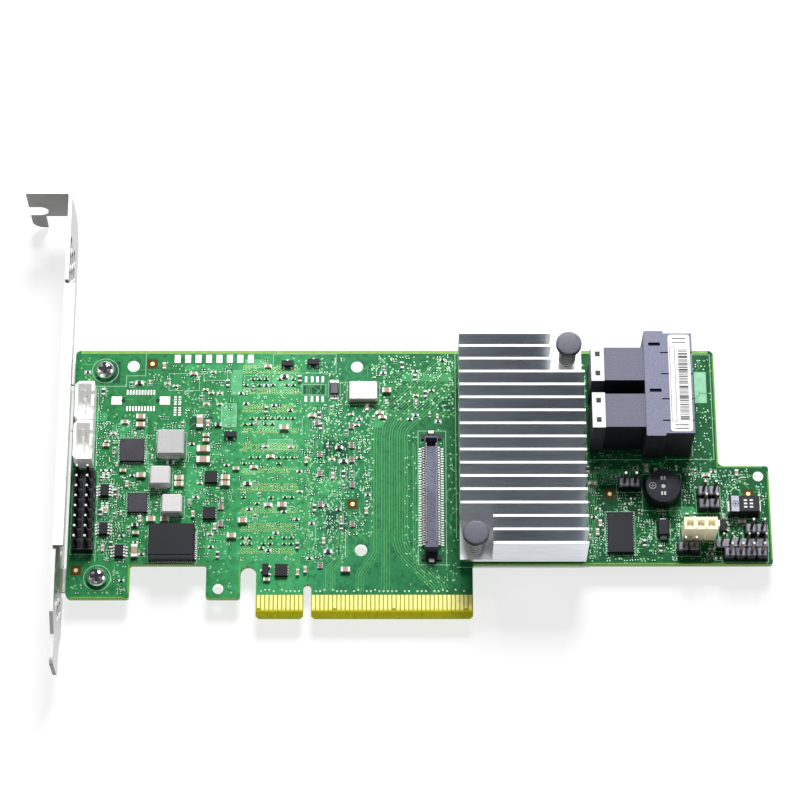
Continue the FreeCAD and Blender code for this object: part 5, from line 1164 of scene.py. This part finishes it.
def make_leads():
    """Gull-wing leads in place of the straight CAD ones."""
    for name, body in LEAD_NODES:
        mesh = Mesh(name + "_finish", "tin")
        hosts = islands(body)
        for low, high in islands(name):
            spot = centre(low, high)
            host = min(hosts, key=lambda box: sum(abs(a - b) for a, b in zip(centre(*box), spot)))
            rise = min((host[1][2] - host[0][2]) * 0.45 + max(host[0][2], 0), LEAD_HIGHEST)
            axis = 0 if high[0] - low[0] > high[1] - low[1] else 1
            side = 1 if spot[axis] > centre(*host)[axis] else -1
            start = turned(low[axis] if side > 0 else high[axis], spot[1 - axis], axis == 1)
            wide, reach = high[1 - axis] - low[1 - axis], high[axis] - low[axis]
            lead(mesh, start, turned(side, 0, axis == 1), wide, LEAD_THICK, rise, reach)
        mesh.make((name,))


def make_pins():
    """Square header pins with pointed ends; the header and jumper pins' metal is painted dark, painted shade for the
    dark surroundings it reflects, and a tin cap on each tip is a painted highlight.
    """
    tips = Mesh("pin_tip_highlights", "tin")
    for name in PIN_NODES:
        mesh = Mesh(name + "_finish", "pin_dark" if "header" in name else "pin_brass" if "jumper" in name else "tin")
        for low, high in islands(name):
            x, y = centre(low, high)
            half = (high[0] - low[0]) / 2
            cap, tip = half * 0.85, 0.5
            # Painted highlight: a tin cap on the pin's tip.
            soft_box(tips, (x - cap, y - cap, high[2] - 0.42), (x + cap, y + cap, high[2] + 0.01), 0.07)
            rows = ((low[2], 0.55), (low[2] + tip, 1.0), (high[2] - tip, 1.0), (high[2], 0.55))
            corners = ((-1, -1), (1, -1), (1, 1), (-1, 1))
            points = [(x + a * half * share, y + b * half * share, z) for z, share in rows for a, b in corners]
            mesh.put(points, [(3, 2, 1, 0), (12, 13, 14, 15)] + bands(4, 4))
        mesh.make((name,))
    tips.make()


def make_cells():
    """Raised, chamfered cells round each pin on top of the pin strips' bodies."""
    for pins, body, material in CELLS:
        mesh = Mesh(body + "_cells", material)
        hosts = islands(body)
        for low, high in islands(pins):
            x, y = centre(low, high)
            top = max(box[1][2] for box in hosts if box[0][0] < x < box[1][0] and box[0][1] < y < box[1][1])
            corner = (x - CELL_HALF, y - CELL_HALF, top - 0.50)
            soft_box(mesh, corner, (x + CELL_HALF, y + CELL_HALF, top + 0.16), 0.26)
        mesh.make()


def make_socket_contacts():
    """Contacts in the slots of the board-to-board socket, and the solder tabs at its ends."""
    mesh = Mesh("mezzanine_contacts", "tin")
    low, high = islands("mezzanine_socket")[0]
    x, middle = centre(low, high)
    for k in range(SLOT_COUNT):
        y = middle + (k - (SLOT_COUNT - 1) / 2) * SLOT_PITCH
        for side in (-SLOT_AT, SLOT_AT):
            corner = (x + side - 0.11, y - 0.15, high[2] - 1.6)
            soft_box(mesh, corner, (x + side + 0.11, y + 0.15, high[2] - 0.50), 0.03)
    for low, high in islands("mezzanine_locks"):
        below = (low[1] + high[1]) / 2 < middle
        near, far = (low[1] - 0.1, low[1] + 0.8) if below else (high[1] - 0.7, high[1] + 0.1)
        soft_box(mesh, (x - 0.65, near, high[2] - 0.2), (x + 0.65, far, high[2] + 0.06), 0.08)
    mesh.make()


def make_push_pins():
    """Turned push pins with a domed head, and wound springs round them: helices of a round wire."""
    pins, springs = Mesh("push_pin_bodies", "pin_plastic"), Mesh("push_pin_coils", "spring_steel")
    coils = islands("push_pin_springs")
    count = SPRING_TURNS * SPRING_STEPS
    for low, high in islands("push_pins"):
        x, y = centre(low, high)
        head, top, stem = (high[0] - low[0]) / 2, high[2], 1.40
        profile = [
            (0.02, low[2]), (stem * 0.72, low[2]), (stem * 1.25, low[2] + 1.2), (stem * 1.25, low[2] + 1.5),
            (stem, low[2] + 1.55), (stem, top - 1.5), (head * 0.97, top - 1.5), (head, top - 1.3), (head, top - 0.35),
            (head * 0.97, top - 0.15), (head * 0.91, top - 0.03), (head * 0.84, top), (0.02, top),
        ]
        lathe(pins, profile, x, y, 40)
        near = [box for box in coils if max(abs(a - b) for a, b in zip(centre(*box), (x, y))) < 5]
        bottom, top = min(box[0][2] for box in near) + SPRING_WIRE, max(box[1][2] for box in near) - SPRING_WIRE
        wide = max(box[1][0] - box[0][0] for box in near) / 2 - SPRING_WIRE
        path = []
        for k in range(count + 1):
            a = 2 * math.pi * k / SPRING_STEPS
            path.append((x + wide * math.cos(a), y + wide * math.sin(a), bottom + (top - bottom) * k / count))
        tube(springs, path, SPRING_WIRE)
    pins.make(("push_pins",), True)
    springs.make(("push_pin_springs",), True)


def make_coils():
    """Pressed inductors: rough blocks with soft edges, and a flat terminal on the lower half of each end."""
    ends = Mesh("coil_terminals", "tin")
    for name, material in (("large_inductor", "coil_grey"), ("small_inductors", "coil_pale")):
        body = Mesh(name + "_finish", material)
        for low, high in islands(name):
            soft_box(body, low, high, 0.35)
            x, wide = centre(low, high)[0], (high[0] - low[0]) * 0.32
            for near, far in ((low[1] - 0.12, low[1]), (high[1], high[1] + 0.12)):
                soft_box(ends, (x - wide, near, low[2]), (x + wide, far, (low[2] + high[2]) / 2), 0.04)
        body.make((name,))
    ends.make()


def mark_tank(low, high):
    """The tank capacitor's pale band, its plus in a ring, and rows of plain marks."""
    band, marks, plus = Mesh("tank_band", "tank_band"), Mesh("tank_marks", "print_white"), Mesh("tank_plus", BLACK)
    wide, y, top = high[0] - low[0], centre(low, high)[1], high[2] + 0.022
    corner = (low[0] + 0.25, low[1] + 0.12, high[2] - 0.05)
    soft_box(band, corner, (low[0] + wide * 0.30, high[1] - 0.12, high[2] + 0.015), 0.01)
    for row in (-0.85, 0.0, 0.85):
        for column in (0.52, 0.72):
            oblong(marks, low[0] + wide * column, y + row, 0.80, 0.42, top)
    plus_mark(plus, low[0] + wide * 0.18, y, 0.62, 0.76, 0.16, top)
    return band, marks, plus


def module_contacts(low, high):
    """Contacts at the power module's lower rim, on the two sides that the camera sees."""
    pads = Mesh("module_pads", "tin")
    for x in np.arange(low[0] + 0.6, high[0] - 0.4, 0.5):
        soft_box(pads, (x - 0.14, low[1] - 0.36, 0.07), (x + 0.14, low[1] + 0.1, 0.35), 0.03)
    for y in np.arange(low[1] + 0.6, high[1] - 0.4, 0.5):
        soft_box(pads, (high[0] - 0.1, y - 0.14, 0.07), (high[0] + 0.42, y + 0.14, 0.35), 0.03)
    return (pads,)


def make_blocks():
    """Soft-edged skins for the larger plain packages, with their marks and contacts."""
    extras = {"tank_capacitor": mark_tank, "power_module": module_contacts}
    for name, material in BLOCKS:
        body = Mesh(name + "_finish", material)
        for low, high in islands(name):
            soft_box(body, low, high, 0.18)
            if name in extras:
                for mesh in extras[name](low, high):
                    mesh.make()
        body.make((name,))


def make_label():
    """A paper label with plain bars and empty fields."""
    low, high = islands("cage_label")[0]
    paper, ink = Mesh("label_paper", "label_paper"), Mesh("label_bars", "label_ink")
    round_plate(paper, low, high, 0.7)
    top, wide = high[2] + MARK_LIFT, high[0] - low[0]
    y = low[1] + 3.2
    while y < high[1] - 3.8:
        thick = dice.choice((0.14, 0.14, 0.25, 0.36))
        oblong(ink, low[0] + wide * 0.66, y, wide * 0.42, thick, top)
        y += thick + dice.choice((0.16, 0.22, 0.34))
    frame_line(ink, (low[0] + 0.35, low[1] + 2.6), (low[0] + 1.5, high[1] - 3.2), 0.10, top)
    for y in (low[1] + 0.8, low[1] + 1.7, high[1] - 1.0, high[1] - 2.0):
        oblong(ink, centre(low, high)[0], y, wide * 0.62, 0.22, top)
    paper.make(("cage_label",))
    ink.make()


def make_screws():
    """Pan-head screws: a domed head on a threaded shank under it, and a cross-shaped recess drawn as a flat dark cross
    and disc on the head, painted shade.
    """
    steel, recess = Mesh("screw_heads", "screw_steel"), Mesh("screw_recess_shade", "chip_resin")
    for low, high in islands("bracket_screws"):
        x, y = centre(low, high)
        radius, top, foot = (high[0] - low[0]) / 2, high[2], low[2]
        shank = radius * 0.50
        profile = [(0.02, foot), (shank * 0.8, foot)]
        for k in range(int(-foot / THREAD_PITCH)):
            profile += [
                (shank * 0.82, foot + THREAD_PITCH * (k + 0.25)), (shank, foot + THREAD_PITCH * (k + 0.75)),
            ]
        dome = [(radius * math.cos(a), 0.5 + (top - 0.5) * math.sin(a)) for a in np.linspace(0, 1.15, 9)]
        crown = dome[-1][1]
        lathe(steel, profile + [(shank, 0.0), (radius, 0.0)] + dome + [(0.02, crown)], x, y, 40)
        reach, half = radius * 0.66, radius * 0.19
        cross = [
            (half, half), (half, reach), (-half, reach), (-half, half), (-reach, half), (-reach, -half),
            (-half, -half), (-half, -reach), (half, -reach), (half, -half), (reach, -half), (reach, half),
        ]
        cos, sin = math.cos(CROSS_TURN), math.sin(CROSS_TURN)
        # Painted shade: the recess is a flat dark cross and a dark disc on the head.
        flat(recess, [(x + a * cos - b * sin, y + a * sin + b * cos) for a, b in cross], crown + 0.02)
        disc(recess, x, y, radius * 0.24, crown + 0.025, 16)
    steel.make(("bracket_screws",), True)
    recess.make()


def make_buzzer():
    """The buzzer's round case with a soft rim, a sound hole with painted shade at its floor and a pale disc in it as a
    painted reflection, and plain marks on its top.
    """
    case, hole = Mesh("buzzer_case", "black_plastic"), Mesh("buzzer_hole", BLACK)
    marks = Mesh("buzzer_marks_and_glint", "print_white")
    low, high = islands("buzzer")[0]
    x, y = centre(low, high)
    radius, top = (high[0] - low[0]) / 2, high[2]
    profile = [
        (0.02, low[2]), (radius, low[2]), (radius, top - 0.35), (radius - 0.10, top - 0.10), (radius - 0.35, top),
        (0.75, top), (0.70, top - 0.30), (0.02, top - 0.30),
    ]
    lathe(case, profile, x, y, 48)
    # Painted shade: a dark disc at the hole's floor.
    disc(hole, x, y, 0.68, top - 0.27, 20)
    # Painted reflection: a pale disc, nearly flush, in the sound hole.
    disc(marks, x, y - 0.10, 0.52, top - 0.04, 20)
    for rise in (-1.95, 1.95):
        for shift in (-0.35, 0.35):
            oblong(marks, x + shift, y + rise, 0.42, 0.9, top + MARK_LIFT)
    plus_mark(marks, x - 2.55, y, 0.72, 0.84, 0.10, top + MARK_LIFT)
    case.make(("buzzer",), True)
    hole.make()
    marks.make()


def make_covers():
    """Latch windows in the white covers, drawn as flat dark patches: painted shade in the recesses."""
    dark = Mesh("cover_window_shade", BLACK)
    for low, high in islands("drive_covers"):
        x, y = centre(low, high)
        for step in (-COVER_WINDOW, COVER_WINDOW):
            oblong(dark, x, y + step, 1.15, 1.25, high[2] + 0.02)
    dark.make()


make_camera()
make_light()
make_floor()
paint_frame()
make_overlay()
make_capacitors()
make_chips()
make_leads()
make_pins()
make_cells()
make_socket_contacts()
make_push_pins()
make_coils()
make_blocks()
make_label()
make_screws()
make_buzzer()
make_covers()
